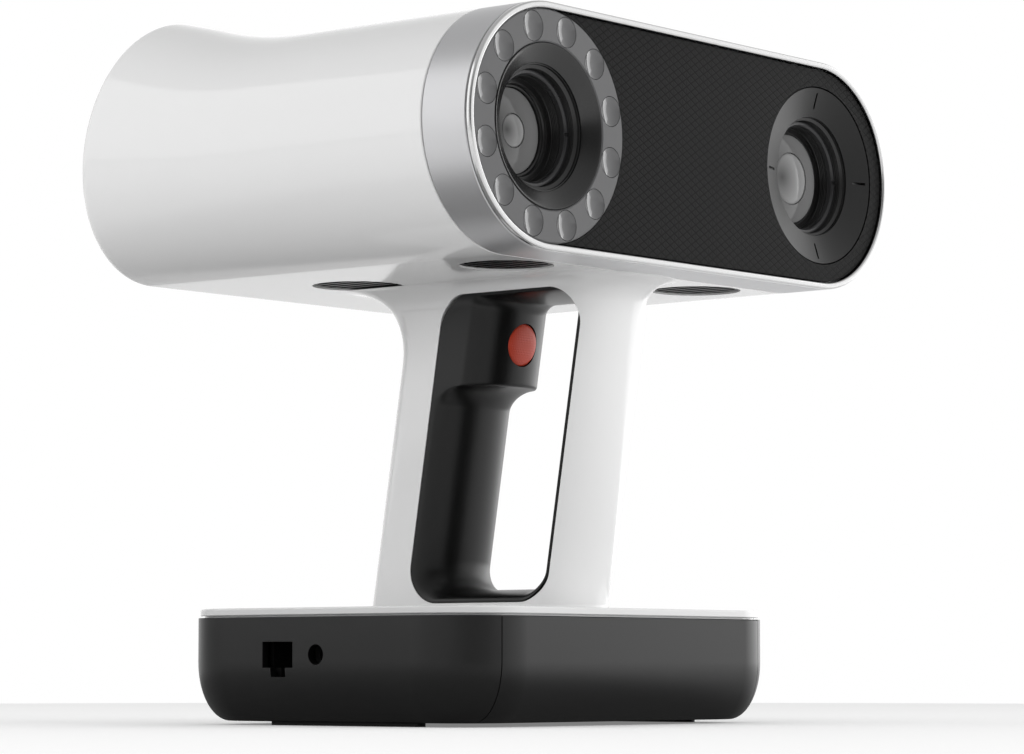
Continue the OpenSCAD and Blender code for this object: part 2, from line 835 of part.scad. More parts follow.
// White shell: one moulding, open in front and behind, with a tongue that enters the band
// and a lip for the screen
module head_shell() {
  y0 = band_d - tongue_l;
  y1 = band_d + joint_gap;
  tongue_in = band_wall + fit;
  tongue_t = 1.6;
  rise = rear_y - roof_d;
  bend = [roof_d, for (i = [1 : 8]) roof_d + (rise - rear_r) * i / 8];
  edge = [for (g = [30, 60, 90]) [rear_y - rear_r + rear_r * sin(g), rear_r * (1 - cos(g))]];
  color("white") from_rim()
    difference() {
      loft(concat(
        [head_ring(y0, tongue_in), head_ring(y1, tongue_in)],
        [head_ring(y1, 0), head_ring(mix(y1, roof_d, 0.5), 0)],
        [for (y = bend) head_ring(y, 0)],
        [for (e = edge) head_ring(e[0], e[1])],
        [head_ring(rear_y, lip_in), head_ring(rear_y - lip_d, lip_in)],
        [head_ring(rear_y - lip_d, head_wall)],
        [for (i = [5 : -1 : 0]) head_ring(roof_d + (rise - lip_d) * i / 6, head_wall)],
        [head_ring(band_d + 2.5, head_wall), head_ring(band_d + 1, tongue_in + tongue_t)],
        [head_ring(y0, tongue_in + tongue_t)]
      ), loop = true);
      vent_places() translate([0, 0, head_z - 1]) cylinder(d = vent_d, h = head_wall + 2);
      head_screw_places() translate([0, 0, -1]) cylinder(r = screw_r + fit, h = head_wall + 2);
    }
}

// Slotted vent covers, dropped into the vents from inside on a flange
module vent_grilles() {
  r = vent_d / 2 - fit;
  bar = 2;
  gap = 2.4;
  color("#2c2c2e") from_rim() {
    difference() {
      vent_places() translate([0, 0, floor_z]) cylinder(r = r + 2.2, h = grille_t);
      vent_places() translate([0, 0, floor_z - 1]) cylinder(r = r - 1.6, h = grille_t + 2);
      translate([-front_w / 2, 0, floor_z - 1]) cube([front_w, band_d + 2.6, grille_t + 2]);
    }
    vent_places()
      difference() {
        translate([0, 0, head_z + 0.6]) cylinder(r = r, h = head_wall - 0.6 + grille_t / 2);
        translate([0, 0, head_z - 1])
          intersection() {
            cylinder(r = r - 1.6, h = head_wall + grille_t + 2);
            for (i = [-3 : 3])
              translate([i * (bar + gap) - gap / 2, -r, 0])
                cube([gap, 2 * r, head_wall + grille_t + 2]);
          }
      }
  }
}

module fan_places() {
  for (s = [-1, 1])
    translate([s * rear_vent_x, rear_vent_y, fan_z]) children();
}

// Square fan frames with a shaft on three arms
module fan_frames() {
  color("#1f1f21") from_rim()
    fan_places() {
      difference() {
        linear_extrude(fan_h) rounded(fan_w, fan_w, 3);
        translate([0, 0, -1]) cylinder(r = fan_bore_r, h = fan_h + 2);
      }
      for (g = [90, 210, 330])
        rotate([0, 0, g]) translate([0, -1, 0]) cube([fan_bore_r + 0.6, 2, spider_t]);
      cylinder(r = fan_hub_r - 1, h = spider_t);
      cylinder(r = fan_shaft_r, h = fan_h - 1.5, $fn = 32);
    }
}

// Fan rotor: a hub on the shaft and raked blades
module fan_rotor() {
  low = spider_t + 0.4;
  tip = fan_bore_r - fan_tip_gap;
  high = fan_h - 0.8;
  difference() {
    union() {
      translate([0, 0, low]) cylinder(r = fan_hub_r, h = high - low);
      intersection() {
        translate([0, 0, low]) cylinder(r = tip, h = high - low - 0.4);
        for (i = [0 : blade_n - 1])
          rotate([0, 0, 360 * i / blade_n])
            translate([fan_hub_r - 1, 0, fan_h / 2])
              rotate([40, 0, 0]) translate([0, -fan_h, -0.5]) cube([tip, 2 * fan_h, 1]);
      }
    }
    translate([0, 0, low - 1]) cylinder(r = fan_shaft_r + shaft_gap, h = fan_h - low - 0.2, $fn = 32);
  }
}

module left_fan() {
  color("#303033") from_rim() translate([-rear_vent_x, rear_vent_y, fan_z]) fan_rotor();
}

module right_fan() {
  color("#303033") from_rim() translate([rear_vent_x, rear_vent_y, fan_z]) fan_rotor();
}

// Main circuit board
module main_board() {
  color("darkgreen") from_rim()
    difference() {
      translate([-board_w / 2, board_y, board_z]) cube([board_w, board_d, pcb_t]);
      board_corners() translate([0, 0, board_z - 1]) cylinder(r = screw_r + fit, h = pcb_t + 2);
    }
}

// Threaded posts between the floor and the main board
module board_standoffs() {
  color("goldenrod") from_rim()
    board_corners() translate([0, 0, floor_z])
      difference() {
        cylinder(r = standoff_r, h = standoff_h);
        translate([0, 0, standoff_h - 5]) cylinder(r = screw_r + 0.05, h = 6);
      }
}

// Screws of the main board
module board_screws() {
  color("silver") from_rim()
    board_corners() {
      translate([0, 0, board_z + pcb_t]) cylinder(r = screw_head_r, h = screw_head_h);
      translate([0, 0, board_z - 4]) cylinder(r = screw_r, h = pcb_t + 4);
    }
}

// Processor on the main board
module processor() {
  color("#222222") from_rim()
    translate([-chip_w / 2, board_y + (board_d - chip_w) / 2, board_z + pcb_t])
      cube([chip_w, chip_w, chip_t]);
}

// Finned heat sink on the processor
module heat_sink() {
  w = board_w - 4 * board_margin - 8;
  pitch = (w - fin_t) / (fin_n - 1);
  color("lightsteelblue") from_rim()
    translate([-w / 2, board_y + (board_d - sink_d) / 2, board_z + pcb_t + chip_t]) {
      cube([w, sink_d, sink_t]);
      for (i = [0 : fin_n - 1])
        translate([i * pitch, 0, 0]) cube([fin_t, sink_d, sink_t + fin_h]);
    }
}

// Rear frame: fills the rear opening behind the lip and holds the glass
module screen_frame() {
  y = rear_y - lip_d - 0.1;
  color("#1b1b1d") from_rim()
    difference() {
      loft([
        head_ring(y - 2, head_wall + 2 * fit), head_ring(y, head_wall + 2 * fit),
        head_ring(y, lip_in + fit), head_ring(rear_y - 0.8, lip_in + fit)
      ]);
      on_screen() screen_slab(glass_w + 2 * fit, glass_h + 2 * fit, glass_r + fit, -1 - glass_t, 10);
      on_screen() screen_slab(window_w, window_h, 2, -30, 0);
    }
}

// Touch glass of the screen
module screen_glass() {
  color("#0b0b0d") from_rim() on_screen() screen_slab(glass_w, glass_h, glass_r, -1 - glass_t, -1);
}

// Display module bonded to the back of the glass
module screen_module() {
  color("#55585c") from_rim()
    on_screen()
      screen_slab(window_w - 2 * fit, window_h - 2 * fit, 2 - fit, -7.5 - glass_t, -1 - glass_t);
}

// Outer form of the handle, moved in by inset: a leaning column that spreads into the head
module handle_form(inset) {
  rise = head_z - flare_rear;
  foot = [for (g = [0 : 30 : 90]) plate_top + foot_fillet * (1 - cos(g))];
  stem = [for (i = [1 : 3]) mix(plate_top + foot_fillet, rise, i / 4)];
  flare = [for (g = [0 : 15 : 90]) head_z - flare_rear * (1 - sin(g))];
  loft([for (z = concat(foot, stem, flare)) handle_ring(z, inset)]);
}

// White handle with the finger opening through it
module handle_column() {
  color("white") from_rim()
    difference() {
      handle_form(0);
      across(handle_t * 3) opening_outline(0);
      head_screw_places() translate([0, 0, -11]) cylinder(r = screw_r + 0.05, h = 12);
      base_screw_places() translate([0, 0, plate_top - 1]) cylinder(r = screw_r + 0.05, h = 10);
    }
}

// Four screws from inside the head down into the handle
module handle_screws() {
  color("silver") from_rim()
    head_screw_places() {
      translate([0, 0, head_wall]) cylinder(r = screw_head_r, h = screw_head_h);
      translate([0, 0, -10]) cylinder(r = screw_r, h = 10 + head_wall);
    }
}

// Black rubber lining: thin round the opening, a thick grip behind, and the trigger boss at its top
module grip_lining() {
  steps = [1, 0.98, 0.94, 0.86, 0.74, 0.6, 0.45, 0.23];
  places = concat([-1.25], [for (s = steps) -s], [0], back_to_front(steps), [1.25]);
  color("#262628") from_rim()
    difference() {
      intersection() {
        handle_form(handle_half - lining_half);
        across(2 * handle_t) opening_outline(fit / 2);
      }
      loft([for (s = places) hole_ring(s * lining_half)]);
      on_boss() boss_rod(trigger_r + slide_gap, -6, trigger_body);
      on_boss() boss_rod(trigger_r + trigger_flange_w + 0.3, trigger_body - 0.3, boss_back + 5);
    }
}

// Red trigger: a slightly domed cap, a flange that keeps it in the boss, and a stem for the switch
module trigger() {
  r = trigger_r;
  stem_y = trigger_body + trigger_flange_t;
  color("#b03a22") from_rim()
    on_boss()
      rotate([-90, 0, 0])
        rotate_extrude()
          polygon([
            [0, trigger_sunk - 0.5], [r * 0.5, trigger_sunk - 0.38],
            [r * 0.8, trigger_sunk - 0.16], [r * 0.95, trigger_sunk + 0.05],
            [r, trigger_sunk + 0.35],
            [r, trigger_body], [r + trigger_flange_w, trigger_body],
            [r + trigger_flange_w, stem_y], [trigger_stem_r, stem_y],
            [trigger_stem_r, stem_y + trigger_stem_l], [0, stem_y + trigger_stem_l]
          ]);
}

// Sprung switch behind the trigger, against the handle
module trigger_switch() {
  color("#101012") from_rim()
    on_boss() {
      translate([-switch_w / 2, switch_y, -switch_w / 2 - switch_drop])
        cube([switch_w, boss_back - 0.1 - switch_y, switch_w]);
      boss_rod(trigger_stem_r, switch_y - plunger_l, switch_y + 0.2);
    }
}

// White top plate of the base, on a step that leaves a black line round it
module base_plate() {
  w = base_w - 2 * plate_inset;
  d = base_d - 2 * plate_inset;
  step = 1.4;
  color("white") from_rim()
    difference() {
      translate([0, base_cy, 0]) {
        translate([0, 0, plate_z]) linear_extrude(plate_t) rounded(w, d, base_corner - plate_inset);
        translate([0, 0, deck_top])
          linear_extrude(plate_gap)
            rounded(w - 2 * step, d - 2 * step, base_corner - plate_inset - step);
      }
      base_screw_places()
        translate([0, 0, deck_top - 1]) cylinder(r = screw_r + fit, h = plate_gap + plate_t + 2);
    }
}

// Outer form of the base, with its rounded lower edge
module base_form() {
  rise = [for (g = [0 : 15 : 90]) foot_h + base_fillet * (1 - cos(g))];
  loft([for (z = concat(rise, [deck_top]))
    let(i = base_inset(z, base_fillet, foot_h, base_tuck))
    base_ring(z, base_w / 2 - i, base_y + i, base_y + base_d - i, base_corner - i, base_corner - i)]);
}

// Space for the sockets behind the battery pack
module base_cavity() {
  r = base_fillet - base_wall;
  z0 = foot_h + base_wall;
  rise = [for (g = [0 : 22.5 : 90]) z0 + r * (1 - cos(g))];
  loft([for (z = concat(rise, [deck_z]))
    let(i = base_inset(z, r, z0, base_tuck - base_wall))
    base_ring(z, base_w / 2 - base_wall - i, cavity_y, base_back - base_wall - i,
              cavity_r, base_corner - base_wall - i)]);
}

// Network socket's opening, drawn in y and z
module rj_outline() {
  translate([rj_y - rj_w / 2, socket_z - rj_h / 2]) square([rj_w, rj_h]);
  translate([rj_y - rj_tab_w / 2, socket_z - rj_h / 2 - rj_tab_h]) square([rj_tab_w, rj_tab_h + 1]);
}

module port_posts() {
  for (x = [-58, 12], y = [cavity_y + 6, board_back - 5])
    translate([x, y, 0]) children();
}

module power_place() {
  translate([0, base_back, power_z]) rotate([90, 0, 0]) children();
}

// Window in the left wall of the base for the socket plate, made smaller by an inset
module socket_window(inset) {
  y0 = dc_y - dc_d / 2 - 2.5;
  z0 = socket_z - rj_h / 2 - rj_tab_h - 2.2;
  translate([-base_w / 2 - 1, y0 + inset, z0 + inset])
    cube([base_wall + 2.6, rj_y + rj_w / 2 + 4 - y0 - 2 * inset, socket_z + rj_h / 2 + 2.6 - z0 - 2 * inset]);
}

// Socket plate: an insert flush in the left wall, with the openings of the two sockets
module socket_plate() {
  color("#242426") from_rim()
    difference() {
      intersection() {
        base_form();
        socket_window(fit);
      }
      base_cavity();
      translate([-base_w / 2 - 1, 0, 0])
        rotate([90, 0, 90]) linear_extrude(base_wall + 4) rj_outline();
      translate([-base_w / 2 - 1, dc_y, socket_z])
        rotate([0, 90, 0]) cylinder(d = dc_d, h = base_wall + 4);
    }
}

// Black base: deck, sides with the pack's rails, and a closed rear part for the sockets
module base_housing() {
  bay = pack_hw + pack_gap;
  color("#242426") from_rim()
    difference() {
      union() {
        difference() {
          base_form();
          translate([-bay, base_y - 1, -1]) cube([2 * bay, bay_back - base_y + 1, deck_z + 1]);
          translate([-bay, base_y - 1, -1]) cube([2 * bay, pack_lip + pack_gap + 1, deck_top + 2]);
          base_cavity();
        }
        for (s = [-1, 1])
          translate([s < 0 ? -bay - 1 : bay - rail_d, base_y + rail_y, rail_z])
            cube([rail_d + 1, bay_back - base_y - rail_y + 1, rail_t]);
        port_posts()
          translate([0, 0, foot_h + base_wall - 0.5])
            cylinder(r = 3, h = port_z - foot_h - base_wall + 0.5);
      }
      socket_window(0);
      power_place() translate([0, 0, -1]) cylinder(r = power_d / 2 + slide_gap, h = base_wall + 2);
      translate([-block_w / 2 - fit, bay_back - 1, contact_z - block_h / 2 - fit])
        cube([block_w + 2 * fit, bulkhead_t + 2, block_h + 2 * fit]);
      base_screw_places() {
        translate([0, 0, deck_z - 1]) cylinder(r = screw_r + fit, h = deck_t + 2);
        translate([0, 0, deck_z - 0.01]) cylinder(r1 = screw_head_r + fit, r2 = screw_r + fit, h = 1.7);
      }
    }
}

// Four countersunk screws from the deck up into the handle
module base_screws() {
  color("silver") from_rim()
    base_screw_places() {
      translate([0, 0, deck_z]) cylinder(r1 = screw_head_r, r2 = screw_r, h = 1.5);
      translate([0, 0, deck_z]) cylinder(r = screw_r, h = plate_top + 8 - deck_z);
    }
}

// Two rubber strips under the flat bottom, beside the battery pack
module rubber_feet() {
  x = (pack_hw + pack_gap + base_w / 2 - base_tuck) / 2;
  r = foot_w / 2 - 0.1;
  color("#151516") from_rim()
    for (s = [-1, 1])
      translate([s * x, base_y + foot_y + foot_l / 2, 0])
        linear_extrude(foot_h) rounded(foot_w, foot_l, r);
}

// Battery pack: the front of the base, on two rails, with a lip in front of the deck
module battery_pack() {
  color("#29292b") from_rim()
    difference() {
      intersection() {
        base_form();
        union() {
          translate([-pack_hw, base_y - 1, 0]) cube([2 * pack_hw, pack_d + 1, pack_top]);
          translate([-pack_hw, base_y - 1, 0]) cube([2 * pack_hw, pack_lip + 1, lip_top]);
        }
      }
      for (s = [-1, 1])
        translate([s < 0 ? -pack_hw - 1 : pack_hw - rail_d, base_y + rail_y - pack_gap, rail_z])
          translate([0, 0, -pack_gap]) cube([rail_d + 1, pack_d, rail_t + 2 * pack_gap]);
    }
}

module contact_places() {
  for (i = [0 : contact_n - 1])
    translate([(i - (contact_n - 1) / 2) * contact_pitch, pack_back, contact_z]) children();
}

// Contact blades on the rear of the pack
module pack_contacts() {
  color("gold") from_rim()
    contact_places()
      translate([-contact_t / 2, 0, -contact_h / 2]) cube([contact_t, contact_l, contact_h]);
}

// Block in the bulkhead that takes the blades
module contact_block() {
  gap = 0.4;
  color("#0f0f10") from_rim()
    difference() {
      union() {
        translate([-block_w / 2, bay_back + 0.2, contact_z - block_h / 2])
          cube([block_w, bulkhead_t + 4, block_h]);
        translate([-block_w / 2 - 3, cavity_y, contact_z - block_h / 2 - block_lip])
          cube([block_w + 6, 4.2, block_h + 2 * block_lip]);
      }
      contact_places()
        translate([-contact_t / 2 - gap, -1, -contact_h / 2 - gap])
          cube([contact_t + 2 * gap, contact_l + 1 + gap, contact_h + 2 * gap]);
    }
}

// Circuit board of the sockets, on four posts
module port_board() {
  x0 = socket_x + 2;
  y0 = cavity_y + 1.5;
  color("darkgreen") from_rim()
    translate([0, 0, port_z]) {
      translate([x0, y0, 0]) cube([20 - x0, board_back - y0, pcb_t]);
      translate([-20, board_back - 1, 0]) cube([40, base_back - base_wall - 4 - board_back, pcb_t]);
    }
}

// Network socket
module network_socket() {
  w = rj_w + 2 * rj_wall;
  z1 = socket_z + rj_h / 2 + rj_wall;
  color("#0d0d0e") from_rim()
    difference() {
      translate([socket_x, rj_y - w / 2, port_top]) cube([socket_l, w, z1 - port_top]);
      translate([socket_x - 1, 0, 0]) rotate([90, 0, 90]) linear_extrude(socket_d + 1) rj_outline();
    }
}

// Power socket: a bore for the plug
module power_socket() {
  w = dc_d + 3.2;
  color("#0d0d0e") from_rim()
    difference() {
      translate([socket_x, dc_y - w / 2, port_top]) cube([socket_l, w, socket_z + w / 2 - port_top]);
      translate([socket_x - 1, dc_y, socket_z])
        rotate([0, 90, 0]) cylinder(d = dc_d - 0.6, h = socket_d + 1);
    }
}

// Power button in the rear wall, kept in by a flange
module power_button() {
  r = power_d / 2;
  color("#39393c") from_rim()
    power_place()
      rotate_extrude()
        polygon([
          [0, -0.4], [r - 0.6, -0.4], [r, 0.2], [r, base_wall + 0.3],
          [r + 1.2, base_wall + 0.3], [r + 1.2, base_wall + 1.8], [0, base_wall + 1.8]
        ]);
}

// Sprung switch behind the power button, on the socket board
module power_switch() {
  y = base_back - base_wall - 1.8 - power_travel - 0.4;
  color("#101012") from_rim() {
    translate([-5, y - 9, port_top]) cube([10, 7.5, power_z + 5 - port_top]);
    translate([0, y, power_z]) rotate([90, 0, 0]) cylinder(r = 2, h = 2);
  }
}

rim_ring();
front_panel();
front_band();
optical_frame();
frame_screws();
lamp_ring();
lamp_lenses();
lamp_board();
camera_hood();
camera_barrel();
camera_retainer();
camera_lens();
camera_body();
projector_ring();
projector_barrel();
projector_retainer();
projector_lens();
projector_body();
head_shell();
vent_grilles();
fan_frames();
left_fan();
right_fan();
main_board();
board_standoffs();
board_screws();
processor();
heat_sink();
screen_frame();
screen_glass();
screen_module();
handle_column();
handle_screws();
grip_lining();
trigger();
trigger_switch();
base_plate();
base_housing();
socket_plate();
base_screws();
rubber_feet();
battery_pack();
pack_contacts();
contact_block();
port_board();
network_socket();
power_socket();
power_button();
power_switch();
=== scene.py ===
import bpy
import bmesh
import math
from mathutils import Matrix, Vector


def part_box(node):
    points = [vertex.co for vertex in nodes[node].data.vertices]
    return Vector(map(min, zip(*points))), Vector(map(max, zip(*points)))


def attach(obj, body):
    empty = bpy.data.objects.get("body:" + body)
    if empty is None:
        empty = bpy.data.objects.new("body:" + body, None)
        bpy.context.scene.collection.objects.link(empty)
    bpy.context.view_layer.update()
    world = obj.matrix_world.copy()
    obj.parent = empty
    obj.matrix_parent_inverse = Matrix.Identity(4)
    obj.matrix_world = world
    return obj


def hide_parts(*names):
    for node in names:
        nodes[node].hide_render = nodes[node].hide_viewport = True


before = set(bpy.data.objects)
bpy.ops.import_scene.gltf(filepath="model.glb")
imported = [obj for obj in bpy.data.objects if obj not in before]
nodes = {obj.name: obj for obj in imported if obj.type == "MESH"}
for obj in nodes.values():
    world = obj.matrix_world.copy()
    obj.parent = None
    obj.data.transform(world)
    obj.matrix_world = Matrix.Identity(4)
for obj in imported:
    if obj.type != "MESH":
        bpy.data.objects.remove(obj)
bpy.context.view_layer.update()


# Head shell: one glossy white moulding, open in front and behind. It widens to the rear, and the
# roof bends up into the edge round the screen. A tongue in front enters the band, a lip behind
# keeps the screen frame, and four round vents go through the level underside.
rim_y = -0.08475
head_z, front_h, end_r, front_half, rear_half = 0.1435, 0.076, 0.038, 0.109, 0.1145
roof_d, roof_bend, roof_rise, rear_d = 0.092, 0.044, 0.0101, 0.16104
screen_angle = 11
screen_lean = math.tan(math.radians(screen_angle))
band_rear, shell_front, shell_wall, rear_round, lip_in = 0.0185, 0.0189, 0.0026, 0.004, 0.005
vent_r = 0.015
vents = [(-0.049, 0.0365), (0.049, 0.0365), (-0.0346, 0.1125), (0.0346, 0.1125)]


def deselect():
    bpy.ops.object.select_all(action="DESELECT")


def skin(name, rings, ends="open"):
    # A ring of edges is drawn at the first outline and extruded from outline to outline
    deselect()
    bpy.ops.mesh.primitive_circle_add(vertices=len(rings[0]), radius=0.05)
    piece = bpy.context.object
    piece.name = piece.data.name = name
    bpy.ops.object.mode_set(mode="EDIT")
    mesh = bmesh.from_edit_mesh(piece.data)
    mesh.verts.ensure_lookup_table()
    line = list(range(len(rings[0])))
    for index, place in zip(line, rings[0]):
        mesh.verts[index].co = place
    if ends == "capped":
        bpy.ops.mesh.edge_face_add()
        mesh = bmesh.from_edit_mesh(piece.data)
        for face in mesh.faces:
            face.select_set(False)
        for edge in mesh.edges:
            edge.select_set(True)
    for ring in rings[1:]:
        bpy.ops.mesh.extrude_edges_move()
        mesh = bmesh.from_edit_mesh(piece.data)
        mesh.verts.ensure_lookup_table()
        moved = []
        for index in line:
            near = mesh.verts[index]
            others = [edge.other_vert(near) for edge in near.link_edges]
            moved.append(next(vert for vert in others if vert.select))
        for vert, place in zip(moved, ring):
            vert.co = place
        line = [vert.index for vert in moved]
    if ends == "capped":
        bpy.ops.mesh.edge_face_add()
    if ends == "loop":
        bpy.ops.mesh.select_all(action="DESELECT")
        mesh = bmesh.from_edit_mesh(piece.data)
        for edge in mesh.edges:
            if edge.is_boundary:
                edge.select_set(True)
        bpy.ops.mesh.bridge_edge_loops()
    bpy.ops.mesh.select_all(action="SELECT")
    bpy.ops.mesh.normals_make_consistent(inside=False)
    bpy.ops.object.mode_set(mode="OBJECT")
    return piece


def activate(piece):
    deselect()
    piece.select_set(True)
    bpy.context.view_layer.objects.active = piece


def apply_modifier(piece, kind, **settings):
    activate(piece)
    modifier = piece.modifiers.new(kind.lower(), kind)
    for key, value in settings.items():
        setattr(modifier, key, value)
    bpy.ops.object.modifier_apply(modifier=modifier.name)


def cut_away(piece, tool, keep="DIFFERENCE"):
    apply_modifier(piece, "BOOLEAN", operation=keep, object=tool, solver="EXACT")
    bpy.data.objects.remove(tool)


def ease_edges(piece, width, angle=60, segments=2):
    apply_modifier(piece, "BEVEL", width=width, segments=segments, limit_method="ANGLE",
                   angle_limit=math.radians(angle))


def smooth(piece, angle=32):
    activate(piece)
    bpy.ops.object.shade_smooth_by_angle(angle=math.radians(angle))
    apply_modifier(piece, "WEIGHTED_NORMAL", keep_sharp=True)


def turned(name, centre, profile, ends="open", sides=128, along=(0, 1, 0)):
    # Turned piece: the profile gives radius and depth along the axis
    along = Vector(along).normalized()
    across = along.orthogonal().normalized()
    other = along.cross(across)
    turn = [2 * math.pi * i / sides for i in range(sides)]
    round_line = [across * math.cos(a) + other * math.sin(a) for a in turn]
    return skin(name, [[Vector(centre) + along * depth + p * radius for p in round_line]
                       for radius, depth in profile], ends)


def rod(name, radius, start, end, end_radius=None, sides=64):
    way = Vector(end) - Vector(start)
    profile = [(radius, 0), (radius if end_radius is None else end_radius, way.length)]
    return turned(name, start, profile, "capped", sides, way)


def mix(a, b, t):
    return a + (b - a) * t


def ease(t):
    t = min(1.0, max(0.0, t))
    return t * t * (3 - 2 * t)


def roof_lift(depth):
    past = max(0.0, depth - roof_d)
    run = past * past / (2 * roof_bend) if past < roof_bend else past - roof_bend / 2
    return roof_rise * run / (rear_d - roof_d - roof_bend / 2)


def pill(half, side, tall, middle, y, lean=0.0, arc=64, run=10):
    # An outline with two round ends, leaning back from its middle
    line = []
    for s in (1, -1):
        for i in range(arc + 1):
            g = math.radians(90 - 180 * i / arc)
            up = s * tall * math.sin(g)
            line.append(Vector((s * (half + side * math.cos(g)), y - lean * up, middle + up)))
        last = line[-1]
        line += [Vector((mix(last.x, -last.x, i / run), last.y, last.z)) for i in range(1, run)]
    return line


def head_line(depth, inset):
    half = mix(front_half, rear_half, depth / rear_d) - end_r
    low, high = head_z + inset, head_z + front_h + roof_lift(depth) - inset
    lean = screen_lean * ease((depth - roof_d) / (rear_d - roof_d))
    tall, middle = (high - low) / 2, (low + high) / 2
    return pill(half, end_r - inset, tall, middle, rim_y + depth, lean, arc=56, run=12)


tongue_d, tongue_out, tongue_in, soft_edge = 0.0145, 0.0024, 0.0040, 0.0003
lip_d, ramp_front, ramp_back = rear_d - 0.005, band_rear + 0.001, band_rear + 0.0025
vent_low, vent_high = head_z - 0.005, head_z + 0.008
stations = [(tongue_d, tongue_out), (shell_front, tongue_out), (shell_front, soft_edge)]
stations += [(shell_front + soft_edge, 0)] + [(mix(shell_front, roof_d, i / 8), 0) for i in range(1, 9)]
stations += [(mix(roof_d, rear_d - rear_round, i / 28), 0) for i in range(1, 29)]
for i in range(1, 10):
    g = math.radians(10 * i)
    stations.append((rear_d - rear_round + rear_round * math.sin(g), rear_round * (1 - math.cos(g))))
stations += [(rear_d, lip_in), (lip_d, lip_in), (lip_d, shell_wall)]
stations += [(mix(roof_d, lip_d, i / 8), shell_wall) for i in range(7, -1, -1)]
stations += [(ramp_back, shell_wall), (ramp_front, tongue_in), (tongue_d, tongue_in)]
shell = skin("head_moulding", [head_line(*s) for s in stations], "loop")
for x, depth in vents:
    y = rim_y + depth
    cut_away(shell, rod("vent_cutter", vent_r, (x, y, vent_low), (x, y, vent_high)))
ease_edges(shell, 0.00035)
smooth(shell)


def feed(tree, node, inputs):
    # Each input gets a value, or a link from another node's output
    for key, value in inputs.items():
        if isinstance(value, bpy.types.NodeSocket):
            tree.links.new(value, node.inputs[key])
        else:
            node.inputs[key].default_value = value


def add(tree, kind, inputs, **settings):
    node = tree.nodes.new("ShaderNode" + kind)
    for key, value in settings.items():
        setattr(node, key, value)
    feed(tree, node, inputs)
    return node


def maths(tree, operation, *values):
    return add(tree, "Math", dict(enumerate(values)), operation=operation).outputs[0]


def shader_group(name, given, returned):
    # An empty group with its sockets: the group, what it is given, its output and the place
    group = bpy.data.node_groups.new(name, "ShaderNodeTree")
    for way, sockets in (("INPUT", given), ("OUTPUT", returned)):
        for label, kind in sockets.items():
            group.interface.new_socket(label, in_out=way, socket_type="NodeSocket" + kind)
    inputs = group.nodes.new("NodeGroupInput").outputs
    place = add(group, "TexCoord", {}).outputs["Object"]
    return group, inputs, group.nodes.new("NodeGroupOutput"), place


def moulded_surface():
    # Slow change of tone, small change of roughness and a fine skin on the height
    group, given, out, place = shader_group(
        "moulded_surface",
        {"Tone": "Color", "Spread": "Float", "Roughness": "Float", "Roughening": "Float", "Grain": "Float"},
        {"Color": "Color", "Roughness": "Float", "Height": "Float"})
    slow = add(group, "TexNoise", {"Vector": place, "Scale": 22.0, "Detail": 4.0})
    grain = add(group, "TexNoise", {"Vector": place, "Scale": given["Grain"], "Detail": 3.0})
    centred = maths(group, "SUBTRACT", slow.outputs["Fac"], 0.5)
    shade = maths(group, "MULTIPLY_ADD", centred, given["Spread"], 1.0)
    tone = add(group, "VectorMath", {0: given["Tone"], "Scale": shade}, operation="SCALE")
    rough = maths(group, "MULTIPLY_ADD", centred, given["Roughening"], given["Roughness"])
    feed(group, out, {"Color": tone.outputs["Vector"], "Roughness": rough, "Height": grain.outputs["Fac"]})
    return group


surface = moulded_surface()


def moulded(name, tone, spread, roughness, roughening, grain, depth, metallic=0.0, specular=0.5, coat=0.0):
    # The tone is a grey level or a colour
    material = bpy.data.materials.new(name)
    material.use_nodes = True
    tree = material.node_tree
    colour = (*tone, 1) if isinstance(tone, tuple) else (tone, tone, tone, 1)
    made = add(tree, "Group", {"Tone": colour, "Spread": spread, "Roughness": roughness,
                               "Roughening": roughening, "Grain": grain}, node_tree=surface).outputs
    bump = add(tree, "Bump", {"Strength": 0.4, "Distance": depth, "Height": made["Height"]})
    feed(tree, tree.nodes["Principled BSDF"], {
        "Base Color": made["Color"], "Roughness": made["Roughness"], "Normal": bump.outputs["Normal"],
        "Metallic": metallic, "Specular IOR Level": specular, "Coat Weight": coat, "Coat Roughness": 0.03})
    return material


def paint(piece, material):
    piece.data.materials.clear()
    piece.data.materials.append(material)


def finish(piece, material, slot, *stands_for, body="scanner"):
    # A modelled piece gets its material, and stands for nodes of the frame
    paint(piece, material)
    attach(piece, body)
    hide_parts(*stands_for)


def dress(material, *names):
    # Nodes of the frame that are shown as they are get their material
    for name in names:
        paint(nodes[name], material)


white_gloss = moulded("white_gloss", 0.80, 0.015, 0.09, 0.03, 500.0, 0.00001)
finish(shell, white_gloss, "white_shell", "head_shell")


# Vents and fans: slotted covers dropped in from inside, square fan frames with a shaft on three
# arms, and rotors with raked blades, all in satin black plastic. The fans stand on the rear covers.
dress(moulded("grille_black", 0.006, 0.08, 0.42, 0.06, 1800.0, 0.00003, specular=0.3), "vent_grilles")
fan_black = moulded("fan_black", (0.020, 0.020, 0.022), 0.08, 0.48, 0.08, 1500.0, 0.00003)
dress(fan_black, "fan_frames", "left_fan", "right_fan")


# Electronics in the head: a green circuit board with fine tracks, screwed to brass posts on the
# floor of the shell. It carries a black processor under a finned aluminium sink.
def mixed(tree, share, first, second, kind="RGBA", **settings):
    inputs = {"Factor": share, "A": first, "B": second}
    return add(tree, "Mix", inputs, data_type=kind, **settings).outputs["Result"]


def overlay(material, mask, colour):
    # Lays a second colour over the base colour where the mask is 1
    tree = material.node_tree
    shader = tree.nodes["Principled BSDF"]
    under = shader.inputs["Base Color"].links[0].from_socket
    feed(tree, shader, {"Base Color": mixed(tree, mask, under, colour)})


